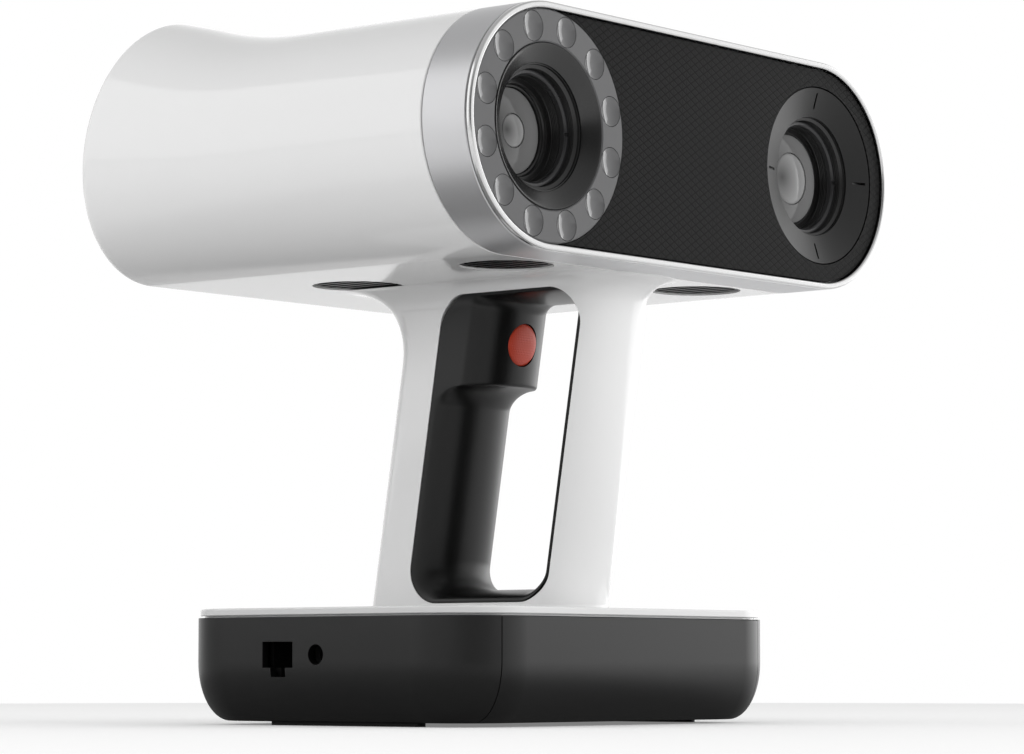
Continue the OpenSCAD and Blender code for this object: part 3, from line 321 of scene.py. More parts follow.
board_green = moulded("board_green", (0.012, 0.085, 0.04), 0.15, 0.38, 0.1, 1200.0, 0.00002)
tree = board_green.node_tree
place = add(tree, "TexCoord", {}).outputs["Object"]
tracks = add(tree, "TexVoronoi", {"Vector": place, "Scale": 260.0}, distance="MANHATTAN")
track = add(tree, "MapRange", {"Value": tracks.outputs["Distance"], "From Min": 0.42, "From Max": 0.46})
overlay(board_green, track.outputs["Result"], (0.03, 0.17, 0.08, 1))
plain_steel = moulded("plain_steel", (0.58, 0.58, 0.59), 0.06, 0.32, 0.08, 2600.0, 0.00002, metallic=1.0)
post_brass = moulded("post_brass", (0.70, 0.52, 0.24), 0.06, 0.30, 0.08, 2200.0, 0.00002, metallic=1.0)
sink_metal = moulded("sink_metal", (0.55, 0.57, 0.60), 0.05, 0.36, 0.06, 2400.0, 0.00003, metallic=1.0)
chip_black = moulded("chip_black", (0.020, 0.020, 0.021), 0.10, 0.55, 0.06, 2600.0, 0.00003)
dress(board_green, "main_board")
dress(post_brass, "board_standoffs")
dress(chip_black, "processor")
dress(sink_metal, "heat_sink")
dress(plain_steel, "board_screws")


# Satin band between the shell and the rim: anodised aluminium with a fine blasted skin, pressed
# over the shell's tongue. A ledge inside carries the optical frame.
band_front, band_wall, band_edge, rim_step = 0.0020, 0.0022, 0.00025, 0.0008
seat_d, ledge_front, ledge_back, ledge_in = 0.0046, 0.0086, 0.0108, 0.0082
band_steps = [(band_front, rim_step), (band_front, band_edge), (band_front + band_edge, 0)]
band_steps += [(mix(band_front, band_rear, i / 8), 0) for i in range(1, 8)]
band_steps += [(band_rear - band_edge, 0), (band_rear, band_edge), (band_rear, band_wall)]
band_steps += [(ledge_back, band_wall), (ledge_back, ledge_in), (ledge_front, ledge_in)]
band_steps += [(ledge_front, band_wall), (seat_d, band_wall), (seat_d, rim_step)]
band = skin("satin_band", [head_line(*s) for s in band_steps], "loop")
smooth(band)
satin = moulded("satin_aluminium", (0.64, 0.64, 0.65), 0.02, 0.40, 0.04, 5000.0, 0.00002, metallic=1.0)
finish(band, satin, "satin_band", "front_band")


# Bright rim: a turned and polished aluminium frame round the front, with a rounded face, set into
# the band on a skirt.
lens_x, lens_z = 0.071, 0.1815
rim_out, rim_in, rim_skirt, rim_round, rim_deep = 0.038, 0.0359, 0.037, 0.0007, 0.0014


def pill_line(radius, depth):
    return pill(lens_x, radius, radius, lens_z, rim_y + depth)


quarter = [math.radians(15 * i) for i in range(7)]
rim_steps = [(rim_skirt, rim_deep), (rim_out, rim_deep)]
rim_steps += [(rim_out - rim_round * (1 - math.cos(g)), rim_round * (1 - math.sin(g))) for g in quarter]
rim_steps += [(rim_in + rim_round * (1 - math.sin(g)), rim_round * (1 - math.cos(g))) for g in quarter]
rim_steps += [(rim_in, seat_d), (rim_skirt, seat_d)]
rim = skin("bright_rim", [pill_line(*s) for s in rim_steps], "loop")
smooth(rim, 40)
bright = moulded("bright_aluminium", 0.68, 0.01, 0.20, 0.04, 3000.0, 0.00001, metallic=1.0)
finish(rim, bright, "bright_rim", "rim_ring")


# Optical frame: a machined aluminium plate behind the front that carries the camera and the
# projector. Four screws hold it on the band's ledge.
machined = moulded("machined_frame", (0.36, 0.37, 0.40), 0.05, 0.34, 0.06, 1800.0, 0.00002, metallic=1.0)
dress(machined, "optical_frame")
dress(plain_steel, "frame_screws")


# Front panel: a thin black plate with a fine moulded pattern of triangles, their sides pressed in
# as hair lines and their corners as pin pricks, both with painted shade. It lies against the optical frame.
panel_r, panel_face, lamp_hole_r, ring_hole_r = 0.0354, 0.0012, 0.0359, 0.0297
panel = skin("front_plate", [pill_line(panel_r, depth) for depth in (panel_face, seat_d)], "capped")
for x, radius in ((-lens_x, lamp_hole_r), (lens_x, ring_hole_r)):
    start, end = (x, rim_y - 0.01, lens_z), (x, rim_y + 0.02, lens_z)
    cut_away(panel, rod("hole_cutter", radius, start, end, sides=160))
ease_edges(panel, 0.0002)
smooth(panel)


def graded(tree, value, start, end, low, high):
    return add(tree, "MapRange", {"Value": value, "From Min": start, "From Max": end, "To Min": low,
                                  "To Max": high}, interpolation_type="SMOOTHSTEP").outputs["Result"]


def pressed_triangles(spacing, width):
    # Three sets of lines across the face; two of them cross in the corners
    group, _, out, place = shader_group("pressed_triangles", {}, {"Lines": "Float", "Corners": "Float"})
    found = []
    for angle in (120, 240, 180):
        g = math.radians(angle)
        slant = (math.cos(g) / spacing, 0, math.sin(g) / spacing)
        across = add(group, "VectorMath", {0: place, 1: slant}, operation="DOT_PRODUCT").outputs["Value"]
        away = maths(group, "ABSOLUTE", maths(group, "SUBTRACT", maths(group, "FRACT", across), 0.5))
        found.append(graded(group, away, 0.5 - width / spacing, 0.5, 0.0, 1.0))
    both = maths(group, "MAXIMUM", found[0], found[1])
    lines = maths(group, "MAXIMUM", both, maths(group, "MULTIPLY", found[2], 0.5))
    feed(group, out, {"Lines": lines, "Corners": maths(group, "MULTIPLY", found[0], found[1])})
    return group


face_tone, line_painted_shade, prick_painted_shade = ((tone, tone, tone, 1) for tone in (0.009, 0.002, 0.0005))
faceted = bpy.data.materials.new("faceted_black")
faceted.use_nodes = True
tree = faceted.node_tree
triangles = pressed_triangles(spacing=0.00223, width=0.00034)
pattern = add(tree, "Group", {}, node_tree=triangles).outputs
# Painted shade in the pressed lines and pricks: darker colour, and Metallic on the lines takes their
# reflection away
shaded_lines_colour = mixed(tree, pattern["Lines"], face_tone, line_painted_shade)
prick = mixed(tree, pattern["Corners"], shaded_lines_colour, prick_painted_shade)
bump = add(tree, "Bump", {"Strength": 0.5, "Distance": 0.0001, "Height": pattern["Lines"]}, invert=True)
feed(tree, tree.nodes["Principled BSDF"], {
    "Base Color": prick, "Metallic": pattern["Lines"], "Roughness": 0.5,
    "Specular IOR Level": 0.08, "Normal": bump.outputs["Normal"]})
finish(panel, faceted, "black_panel", "front_panel")


# Lamp ring round the camera: a turned ring in satin grey with twelve round pockets, a dished
# window in each, and a ring circuit board under them, which lies on the optical frame.
def turning_lines():
    # Fine rings left by the tool, round an axis along the depth through a given centre
    group, given, out, place = shader_group("turning_lines", {"Centre": "Vector"}, {"Height": "Float"})
    shift = add(group, "VectorMath", {0: place, 1: given["Centre"]}, operation="SUBTRACT")
    rings = add(group, "TexWave", {"Vector": shift.outputs["Vector"], "Scale": 570.0, "Distortion": 0.6,
                                   "Detail": 2.0}, wave_type="RINGS", rings_direction="Y")
    feed(group, out, {"Height": rings.outputs["Fac"]})
    return group


tool_marks = turning_lines()


def emboss(material, height, depth, strength):
    # Adds a height to a finish, on top of its own skin
    tree = material.node_tree
    shader = tree.nodes["Principled BSDF"]
    skin_normal = shader.inputs["Normal"].links[0].from_socket
    bump = add(tree, "Bump", {"Strength": strength, "Distance": depth, "Height": height,
                              "Normal": skin_normal})
    feed(tree, shader, {"Normal": bump.outputs["Normal"]})


def lathe_finish(material, x, depth, strength=0.35):
    marks = add(material.node_tree, "Group", {"Centre": (x, 0, lens_z)}, node_tree=tool_marks)
    emboss(material, marks.outputs["Height"], depth, strength)
    return material


lamp_middle_r, window_r, window_edge = 0.03065, 0.00479, 0.0002
window_face, window_back, dish = 0.0008, 0.0034, 0.0011
window_line = [(window_r - 2 * window_edge, window_back), (window_r, window_back)]
window_line += [(window_r, window_face + window_edge), (window_r - window_edge, window_face)]
for share in (0.9, 0.8, 0.68, 0.55, 0.42, 0.28, 0.15, 0.05):
    window_line.append(((window_r - window_edge) * share, window_face + dish * (1 - share * share)))
window = turned("lamp_window", (0, rim_y, 0), window_line, "capped", sides=40)
smooth(window, 50)
lamp_glass = moulded("lamp_window_grey", (0.080, 0.080, 0.082), 0.03, 0.09, 0.02, 900.0, 0.000003, coat=0.5)
for i in range(12):
    g = math.radians(30 * (i + 0.5))
    copy = window.copy()
    copy.data = window.data.copy()
    copy.name = copy.data.name = f"lamp_window_{i + 1}"
    bpy.context.collection.objects.link(copy)
    shift = Vector((-lens_x + lamp_middle_r * math.cos(g), 0, lens_z + lamp_middle_r * math.sin(g)))
    for vert in copy.data.vertices:
        vert.co += shift
    finish(copy, lamp_glass, "lamp_window", "lamp_lenses")
bpy.data.objects.remove(window)
lamp_grey = moulded("lamp_ring_grey", (0.085, 0.085, 0.087), 0.03, 0.40, 0.05, 3500.0, 0.00002)
dress(lathe_finish(lamp_grey, -lens_x, 0.000004), "lamp_ring")
dress(board_green, "lamp_board")


# Camera: a shallow dark cone, a stepped and threaded barrel, a slotted ring that holds the optics,
# a coated front glass with a painted sheen and a smaller element behind its step, and the camera
# body. The barrel's flange lies against the back of the optical frame.
def block(name, low, high):
    ring = [(low[0], low[1]), (high[0], low[1]), (high[0], high[1]), (low[0], high[1])]
    return skin(name, [[Vector((x, y, z)) for x, y in ring] for z in (low[2], high[2])], "capped")


def threaded(radius, start, end, pitch=0.0006, cut=0.00014):
    line = [(radius, start)]
    for i in range(int((end - start) / pitch)):
        line += [(radius + cut, start + pitch * (i + 0.3)), (radius + cut, start + pitch * (i + 0.6)),
                 (radius, start + pitch * (i + 0.9))]
    return line + [(radius, end)]


def stepped_barrel(name, x, inside, outer, back, bore):
    front, flange_front, flange_back, flange_r = 0.0048, 0.0086, 0.0116, outer + 0.004
    profile = inside + [(bore, back), (outer, back), (outer, flange_back), (flange_r, flange_back)]
    profile += [(flange_r, flange_front), (outer, flange_front), (outer, front)]
    piece = turned(name, (x, rim_y, lens_z), profile, "loop", 144)
    ease_edges(piece, 0.00012, 40)
    smooth(piece, 35)
    return piece


def slotted_ring(name, x, radius):
    front, back, slot_half, slot_long = 0.0080, 0.0102, 0.0006, 0.003
    bore, ease_r = radius - 0.0016, radius - 0.0010
    profile = [(radius, front), (radius, back), (bore, back), (bore, front + slot_half), (ease_r, front)]
    piece = turned(name, (x, rim_y, lens_z), profile, "loop", 144)
    for middle in (x - radius, x + radius):
        low = (middle - slot_long, rim_y + front - slot_half, lens_z - slot_half)
        high = (middle + slot_long, rim_y + front + slot_half, lens_z + slot_half)
        cut_away(piece, block("slot_cutter", low, high))
    ease_edges(piece, 0.00012, 40)
    smooth(piece, 35)
    return piece


def front_glass(name, x, radius, apex, sag, step, back):
    # A domed glass with a ground rim, a fine groove at the step and the inner element's own dome
    def face(r):
        return apex + sag * (r / radius) ** 2

    groove, edge, deep = step - 0.0001, step - 0.0003, face(step) + 0.0012
    outer = [(radius - 0.0006, back), (radius, back), (radius, face(radius) + 0.0002)]
    outer += [(radius * s, face(radius * s)) for s in (0.985, 0.94, 0.88, 0.82, 0.76, 0.70)]
    outer += [(r, face(r)) for r in (step + 0.0006, step + 0.0002, step)]
    outer += [(groove, face(step) + 0.0005), (groove, deep)]
    glass = turned(name, (x, rim_y, lens_z), outer, "capped", 128)
    smooth(glass, 40)
    inner = [(edge, deep), (edge, face(step) + 0.0003)]
    for s in (0.97, 0.9, 0.8, 0.68, 0.55, 0.4, 0.25, 0.12, 0.04):
        inner.append((edge * s, face(step) + 0.00015 - 0.0006 * (1 - s * s)))
    element = turned(name + "_element", (x, rim_y, lens_z), inner, "capped", 128)
    smooth(element, 40)
    return glass, element


def painted_lens_sheen():
    # Painted sheen: the tone is darkened round a given centre and left lighter outwards, a painted
    # reflection on the glass
    group, given, out, place = shader_group(
        "painted_lens_sheen", {"Tone": "Color", "Centre": "Vector", "Radius": "Float"}, {"Tone": "Color"})
    away = add(group, "VectorMath", {0: place, 1: given["Centre"]}, operation="DISTANCE").outputs["Value"]
    ramp = add(group, "MapRange", {"Value": away, "From Max": given["Radius"], "To Min": 0.12})
    darkened = mixed(group, 1.0, given["Tone"], ramp.outputs["Result"], blend_type="MULTIPLY")
    feed(group, out, {"Tone": darkened})
    return group


sheen_painting_group = painted_lens_sheen()


def glass_with_painted_sheen(name, tone, x, depth, radius):
    # Painted sheen: its dark middle lies off the axis, so the far edge is painted lightest, as a painted
    # reflection
    off_axis = 0.6
    material = moulded(name, tone, 0.04, 0.10, 0.01, 200.0, 0.000001, specular=0.3, coat=0.15)
    tree = material.node_tree
    shader = tree.nodes["Principled BSDF"]
    centre = (x - off_axis * radius, rim_y + depth, lens_z)
    under = shader.inputs["Base Color"].links[0].from_socket
    sheen_node = add(tree, "Group", {"Tone": under, "Centre": centre, "Radius": (1 + off_axis) * radius},
               node_tree=sheen_painting_group)
    feed(tree, shader, {"Base Color": sheen_node.outputs["Tone"]})
    return material


def mount_glass(name, x, radius, apex, sag, step, back, node):
    glass, element = front_glass(name, x, radius, apex, sag, step, back)
    # Both the glass and its element get a painted sheen, dark off the axis and lightest at the far edge
    glass_painted_sheen_material = glass_with_painted_sheen(name + "_painted_sheen", 0.21, x, apex, radius)
    element_painted_sheen_material = glass_with_painted_sheen(name + "_element_painted_sheen", 0.32, x, apex, step)
    finish(glass, glass_painted_sheen_material, "lens_glass", node)
    finish(element, element_painted_sheen_material, "lens_glass", node)


hood_r, hood_out, hood_in, hood_bore = 0.0254, 0.0250, 0.0198, 0.0196
hood_face, hood_floor, hood_ease = 0.0008, 0.0041, 0.0002
hood_black = moulded("hood_black", 0.002, 0.06, 0.24, 0.03, 3000.0, 0.000005, specular=0.7)
lathe_finish(hood_black, -lens_x, 0.000003, 0.2)
hood_steps = [(hood_r, seat_d), (hood_r, hood_face + hood_ease), (hood_r - hood_ease, hood_face)]
hood_steps += [(hood_out, hood_face)]
hood_steps += [(mix(hood_out, hood_in, i / 5), mix(hood_face, hood_floor, i / 5)) for i in range(1, 6)]
hood_steps += [(hood_bore, hood_floor + hood_ease), (hood_bore, seat_d)]
hood = turned("camera_cone", (-lens_x, rim_y, lens_z), hood_steps, "loop", 144)
smooth(hood, 35)
finish(hood, hood_black, "black_metal", "camera_hood")
anodised = moulded("black_anodised", 0.008, 0.1, 0.30, 0.06, 3000.0, 0.00002)
lathe_finish(anodised, -lens_x, 0.000004)
inside = [(0.0192, 0.0048), (0.0192, 0.0056), (0.0180, 0.0062)] + threaded(0.0180, 0.0064, 0.0100)
inside += [(0.0180, 0.0102), (0.0162, 0.0102)] + threaded(0.0162, 0.0106, 0.0138)
inside += [(0.0162, 0.0140), (0.0144, 0.0140), (0.0144, 0.0148), (0.0141, 0.0152), (0.0141, 0.0156)]
inside += [(0.0135, 0.0156), (0.0135, 0.0210), (0.0118, 0.0210)]
camera_tube = stepped_barrel("camera_tube", -lens_x, inside, outer=0.0204, back=0.0250, bore=0.0118)
finish(camera_tube, anodised, "black_metal", "camera_barrel")
ring_black = moulded("ring_black", (0.016, 0.016, 0.017), 0.06, 0.28, 0.05, 3000.0, 0.00001)
camera_slots = slotted_ring("camera_slot_ring", -lens_x, 0.0179)
finish(camera_slots, ring_black, "black_metal", "camera_retainer")
mount_glass("camera_glass", -lens_x, radius=0.0134, apex=0.0150, sag=0.0014, step=0.0054, back=0.0210,
            node="camera_lens")
body_black = moulded("body_black", (0.030, 0.030, 0.032), 0.06, 0.36, 0.05, 2600.0, 0.00002)
dress(body_black, "camera_body")


# Projector: a painted ring with turning lines and four index grooves, falling to a stepped barrel
# with its slotted ring, the front glass, and the body with the light source. It is held as the
# camera is.
ring_out, ring_r, ring_in, ring_face, ring_floor = 0.0295, 0.0293, 0.0199, 0.0014, 0.0043
groove_r, groove_long, groove_half, groove_floor = 0.02515, 0.00265, 0.0004, 0.0037
ring_paint = moulded("ring_paint", 0.008, 0.05, 0.30, 0.05, 3000.0, 0.00001, specular=0.22)
lathe_finish(ring_paint, lens_x, 0.00001, 0.5)
ring_line = [(ring_out, seat_d), (ring_out, ring_face + ring_out - ring_r), (ring_r, ring_face)]
ring_line += [(mix(ring_r, ring_in, i / 6), mix(ring_face, ring_floor, i / 6)) for i in range(1, 7)]
ring = turned("projector_face_ring", (lens_x, rim_y, lens_z), ring_line + [(ring_in, seat_d)], "loop", 144)
for x, z in ((0, groove_r), (groove_r, 0), (0, -groove_r), (-groove_r, 0)):
    half_x, half_z = (groove_long, groove_half) if x else (groove_half, groove_long)
    low = (lens_x + x - half_x, rim_y - 0.001, lens_z + z - half_z)
    high = (lens_x + x + half_x, rim_y + groove_floor, lens_z + z + half_z)
    cut_away(ring, block("groove_cutter", low, high))
smooth(ring, 35)
finish(ring, ring_paint, "ring_metal", "projector_ring")
dark_bore = moulded("dark_bore", 0.007, 0.1, 0.30, 0.06, 3000.0, 0.00002)
lathe_finish(dark_bore, lens_x, 0.000004)
inside = [(0.0198, 0.0048), (0.0198, 0.0056), (0.0188, 0.0062)] + threaded(0.0188, 0.0064, 0.0100)
inside += [(0.0188, 0.0102), (0.0170, 0.0102)] + threaded(0.0170, 0.0106, 0.0136)
inside += [(0.0170, 0.0141), (0.0155, 0.0141), (0.0152, 0.0145), (0.0149, 0.0145), (0.0149, 0.0195)]
inside += [(0.0132, 0.0195)]
projector_tube = stepped_barrel("projector_tube", lens_x, inside, outer=0.0210, back=0.0245, bore=0.0132)
finish(projector_tube, dark_bore, "black_metal", "projector_barrel")
projector_slots = slotted_ring("projector_slot_ring", lens_x, 0.0187)
finish(projector_slots, ring_black, "black_metal", "projector_retainer")
mount_glass("projector_glass", lens_x, radius=0.0148, apex=0.0125, sag=0.0012, step=0.0088, back=0.0195,
            node="projector_lens")
dress(body_black, "projector_body")


# Screen: a black frame that fills the rear opening behind the shell's lip, a touch glass flush in
# it with a dark border round the display, and the display module bonded behind the glass.
rear_mid = Vector((0, rim_y + rear_d, head_z + (front_h + roof_rise) / 2))


def tilted(angle):
    return Vector((0, math.cos(math.radians(angle)), math.sin(math.radians(angle))))


outward = tilted(screen_angle)
upward = Vector((0, -outward.z, outward.y))


def corners(arc):
    # The corners of a rounded outline in turn: side, end, and the turn's cosine and sine
    for side, end, start in ((1, 1, 0), (-1, 1, 90), (-1, -1, 180), (1, -1, 270)):
        for i in range(arc + 1):
            g = math.radians(start + 90 * i / arc)
            yield side, end, math.cos(g), math.sin(g)


def screen_block(name, width, height, radius, low, high):
    # A block with rounded corners that leans with the screen
    across, up = width / 2 - radius, height / 2 - radius
    line = [Vector((side * across + radius * c, 0, 0)) + upward * (end * up + radius * s)
            for side, end, c, s in corners(10)]
    ends = [[rear_mid + outward * out + point for point in line] for out in (low, high)]
    return skin(name, ends, "capped")


seat, frame_in, face_in = rear_d - 0.0051, 0.003, 0.0052
frame_steps = [(seat - 0.002, frame_in), (seat, frame_in), (seat, face_in)]
frame_steps += [(rear_d - 0.0012, face_in), (rear_d - 0.0009, 0.0053), (rear_d - 0.0008, 0.0056)]
screen_frame = skin("screen_surround", [head_line(*s) for s in frame_steps], "capped")
cut_away(screen_frame, screen_block("glass_cutter", 0.1764, 0.0704, radius=0.0122, low=-0.0025, high=0.02))
cut_away(screen_frame, screen_block("window_cutter", 0.148, 0.060, radius=0.002, low=-0.03, high=0.0))
ease_edges(screen_frame, 0.0002)
smooth(screen_frame)
screen_black = moulded("screen_black", (0.012, 0.012, 0.013), 0.06, 0.34, 0.05, 2200.0, 0.00002)
finish(screen_frame, screen_black, "screen_black", "screen_frame")
display_half_x, display_half_z = 0.072, 0.0282
touch = moulded("touch_glass", (0.004, 0.004, 0.005), 0.05, 0.05, 0.01, 300.0, 0.000001, coat=1.0)
tree = touch.node_tree
place = add(tree, "TexCoord", {}).outputs["Object"]
offset = add(tree, "VectorMath", {0: place, 1: tuple(rear_mid)}, operation="SUBTRACT").outputs["Vector"]
size = add(tree, "VectorMath", {0: offset}, operation="ABSOLUTE").outputs["Vector"]
axes = add(tree, "SeparateXYZ", {0: size}).outputs
inside_x = maths(tree, "LESS_THAN", axes["X"], display_half_x)
inside_z = maths(tree, "LESS_THAN", axes["Z"], display_half_z)
overlay(touch, maths(tree, "MULTIPLY", inside_x, inside_z), (0.014, 0.015, 0.018, 1))
dress(touch, "screen_glass")
module_grey = moulded("module_grey", (0.22, 0.23, 0.24), 0.05, 0.40, 0.05, 1500.0, 0.00002, metallic=1.0)
dress(module_grey, "screen_module")


# Handle: a white column that leans forward and spreads into the head, with a rounded opening
# through its flat sides for the fingers. Screws hold it to the head from inside and to the base.
plate_top, handle_angle = 0.0371, 9.3
slope = math.tan(math.radians(handle_angle))
handle_half, handle_fore, handle_aft = 0.018, 0.0418, 0.1288
flare_rear, flare_side, foot_round, edge_round = 0.025, 0.008, 0.0015, 0.012
open_front, open_rear, open_low, open_high, open_r = 0.0483, 0.1062, 0.0392, 0.1399, 0.011


def fillet(r, h):
    return 0.0 if h >= r else r - math.sqrt(r * r - (r - h) * (r - h))


def handle_sides(z):
    up, down = max(0.0, head_z - z), max(0.0, z - plate_top)
    foot = fillet(foot_round, down)
    lean = -slope * (z - plate_top)
    side = handle_half + fillet(flare_side, up) + foot
    fore = handle_fore + lean - fillet(flare_side, up) - foot
    aft = handle_aft + lean + fillet(flare_rear, up) + foot
    return side, fore, aft


def handle_line(z, arc=32, run=8):
    side, fore, aft = handle_sides(z)
    line = []
    for half, y in ((180, fore + edge_round), (0, aft - edge_round)):
        for i in range(arc + 1):
            g = math.radians(half + 180 * i / arc)
            line.append(Vector((side * math.cos(g), rim_y + y + edge_round * math.sin(g), z)))
        end = rim_y + (aft - edge_round if half == 180 else fore + edge_round)
        last = line[-1]
        line += [Vector((last.x, mix(last.y, end, i / run), z)) for i in range(1, run)]
    return line


def opening_line(x, arc=16):
    side = open_r / math.cos(math.radians(handle_angle))
    low, high = open_low + open_r, open_high - open_r
    line = []
    for y, z, start in ((open_rear - side, low, -90), (open_rear - side, high, 0),
                        (open_front + side, high, 90), (open_front + side, low, 180)):
        middle = Vector((x, rim_y + y - slope * (z - plate_top), z))
        for i in range(arc + 1):
            lean = i / arc if start in (-90, 90) else 1 - i / arc
            g = math.radians(start + 90 * i / arc + handle_angle * lean)
            line.append(middle + Vector((0, open_r * math.cos(g), open_r * math.sin(g))))
    return line


levels = [plate_top + foot_round * (1 - math.cos(math.radians(g))) for g in (0, 20, 40, 60, 75, 90)]
levels += [mix(plate_top + foot_round, head_z - flare_rear, i / 10) for i in range(1, 10)]
levels += [head_z - flare_rear * (1 - math.sin(math.radians(g))) for g in range(0, 91, 3)]
column = skin("handle_column_white", [handle_line(z) for z in levels], "capped")
cut_away(column, skin("opening_cutter", [opening_line(-0.05), opening_line(0.05)], "capped"))
ease_edges(column, 0.0004, 50)
smooth(column)
finish(column, white_gloss, "white_shell", "handle_column")
dress(plain_steel, "handle_screws")


# Grip lining: one black rubber moulding round the finger opening. It is thin in front, full along
# the rear as a grip, and steps out over a hollow fillet into the boss for the trigger.
lip, grip_depth, boss_depth, boss_low, boss_fillet = 0.0007, 0.0113, 0.022, 0.1102, 0.007
lining_front, lining_low, lining_top, sunk = 0.0026, 0.0045, 0.0026, 0.0002
boss_out, boss_edge = boss_depth - grip_depth, 0.001


def lining_half(y, z):
    side, fore, _ = handle_sides(z)
    past = max(0.0, fore + edge_round - y) / edge_round
    return side * math.sqrt(max(0.0, 1 - past * past)) - sunk


def swept(y, z, radius, start, arc=14):
    turn = [math.radians(start + 90 * i / arc) for i in range(arc + 1)]
    return [(y + radius * math.cos(g), z + radius * math.sin(g)) for g in turn]


def boss_rise():
    # From the grip up the hollow fillet and round the boss's lower edge: step forward and height
    steps = []
    last = math.degrees(math.acos(1 - (boss_out - boss_edge) / boss_out))
    for i in range(21):
        g = math.radians(last * i / 20)
        steps.append((boss_out * (1 - math.cos(g)), boss_low - boss_fillet * (1 - math.sin(g))))
    for i in range(1, 7):
        g = math.radians(15 * i)
        up = steps[20][1] + boss_edge * (1 - math.cos(g))
        steps.append((boss_out - boss_edge + boss_edge * math.sin(g), up))
    return steps


def hole_points(share):
    full = math.sqrt(max(0.0, 1 - share * share))
    low_r, top_r, front_r = 0.010, 0.0035, 0.0085
    grip = open_rear - mix(lip, grip_depth, full)
    fore = open_front + mix(lip, lining_front, full) + front_r
    bottom = open_low + mix(lip, lining_low, full)
    top = open_high - mix(lip, lining_top, full)
    points = swept(grip - low_r, bottom + low_r, low_r, -90)
    points += [(grip, mix(bottom + low_r, boss_low - boss_fillet, i / 14)) for i in range(1, 14)]
    points += [(grip - out, z) for out, z in boss_rise()]
    points += [(grip - boss_out, mix(boss_low + boss_edge, top - top_r, i / 22)) for i in range(1, 22)]
    points += swept(grip - boss_out - top_r, top - top_r, top_r, 0)
    points += swept(fore, top - front_r, front_r, 90)
    points += [(fore - front_r, mix(top - front_r, bottom + front_r, i / 20)) for i in range(1, 20)]
    points += swept(fore, bottom + front_r, front_r, 180)
    return points


def lining_line(points, share):
    line = []
    for y, z in points:
        y -= slope * (z - plate_top)
        line.append(Vector((share * lining_half(y, z), rim_y + y, z)))
    return line


def outer_points():
    # The opening's own outline, with one point level with each point of the hole's rear
    edge = 0.0001
    r = open_r - edge
    y0, y1, z0, z1 = open_front + edge, open_rear - edge, open_low + edge, open_high - edge
    points = swept(y1 - r, z0 + r, r, -90)
    for _, z in hole_points(1.0)[15:76]:
        up = max(0.0, z - (z1 - r))
        points.append((y1 - r + math.sqrt(r * r - up * up), z))
    start = math.degrees(math.asin((points[-1][1] - (z1 - r)) / r))
    for i in range(1, 16):
        g = math.radians(mix(start, 90, i / 15))
        points.append((y1 - r + r * math.cos(g), z1 - r + r * math.sin(g)))
    points += swept(y0 + r, z1 - r, r, 90)
    points += [(y0, mix(z1 - r, z0 + r, i / 20)) for i in range(1, 20)]
    points += swept(y0 + r, z0 + r, r, 180)
    return points


shares = [1.0, 0.995, 0.985, 0.97, 0.95, 0.92, 0.88, 0.83, 0.77, 0.70]
shares += [0.62, 0.54, 0.45, 0.36, 0.27, 0.18, 0.09]
across = [-s for s in shares] + [0.0] + shares[::-1]
rings = [lining_line(outer_points(), -1.0)] + [lining_line(hole_points(abs(s)), s) for s in across]
rings += [lining_line(outer_points(), 1.0)]
lining = skin("grip_rubber", rings, "loop")
boss_face, boss_bore_r = Vector((0, -0.01475, 0.1238)), 0.00715
into_boss = tilted(handle_angle)
start, end = boss_face - into_boss * 0.004, boss_face + into_boss * 0.0069
cut_away(lining, rod("trigger_cutter", boss_bore_r, start, end, sides=96))
smooth(lining, 42)
rubber = moulded("black_rubber", 0.004, 0.08, 0.34, 0.05, 4000.0, 0.00002, specular=0.4)
finish(lining, rubber, "rubber", "grip_lining")


# Trigger: a red domed button with a fine pimpled skin. It is guided in the boss, a collar keeps it
# there, and its stem bears on the sprung switch behind.
trigger_r, collar_r, stem_r, dome_high, collar_d = 0.007, 0.0085, 0.002, 0.00085, 0.007
trigger_line = [(trigger_r * s, -0.0001 + dome_high * s ** 3)
                for s in (0.02, 0.2, 0.4, 0.55, 0.7, 0.82, 0.91, 0.965)]
trigger_line += [(0.00693, 0.00086), (trigger_r, 0.0010), (trigger_r, 0.0066), (trigger_r, collar_d)]
trigger_line += [(collar_r, collar_d), (collar_r, 0.009), (stem_r, 0.009), (stem_r, 0.012)]
button = turned("trigger_button", boss_face, trigger_line, "capped", 96, into_boss)
smooth(button, 40)
red = moulded("trigger_red", (0.66, 0.055, 0.018), 0.06, 0.42, 0.05, 3000.0, 0.00002)
tree = red.node_tree
place = add(tree, "TexCoord", {}).outputs["Object"]
dots = add(tree, "TexVoronoi", {"Vector": place, "Scale": 1250.0, "Randomness": 0.15})
pimple = add(tree, "MapRange", {"Value": dots.outputs["Distance"], "From Max": 0.5, "To Min": 1.0,
                                "To Max": 0.0})
emboss(red, pimple.outputs["Result"], 0.00015, 0.45)
finish(button, red, "trigger_red", "trigger", body="trigger")
socket_black = moulded("socket_black", 0.006, 0.06, 0.46, 0.05, 2000.0, 0.00002)
dress(socket_black, "trigger_switch")


# Top plate of the base: a white plate with a softened edge on a narrower step, which leaves a
# black line round it. The handle stands on it.
base_half, base_front, base_rear, base_corner = 0.0821, 0.022, 0.153, 0.026
deck_top, plate_low, plate_step, plate_edge, plate_ease = 0.0342, 0.0348, 0.0020, 0.0006, 0.0002


def base_line(z, inset):
    half, r = base_half - inset, base_corner - inset
    ends = {1: base_rear - inset - r, -1: base_front + inset + r}
    return [Vector((side * (half - r) + r * c, rim_y + ends[end] + r * s, z))
            for side, end, c, s in corners(24)]


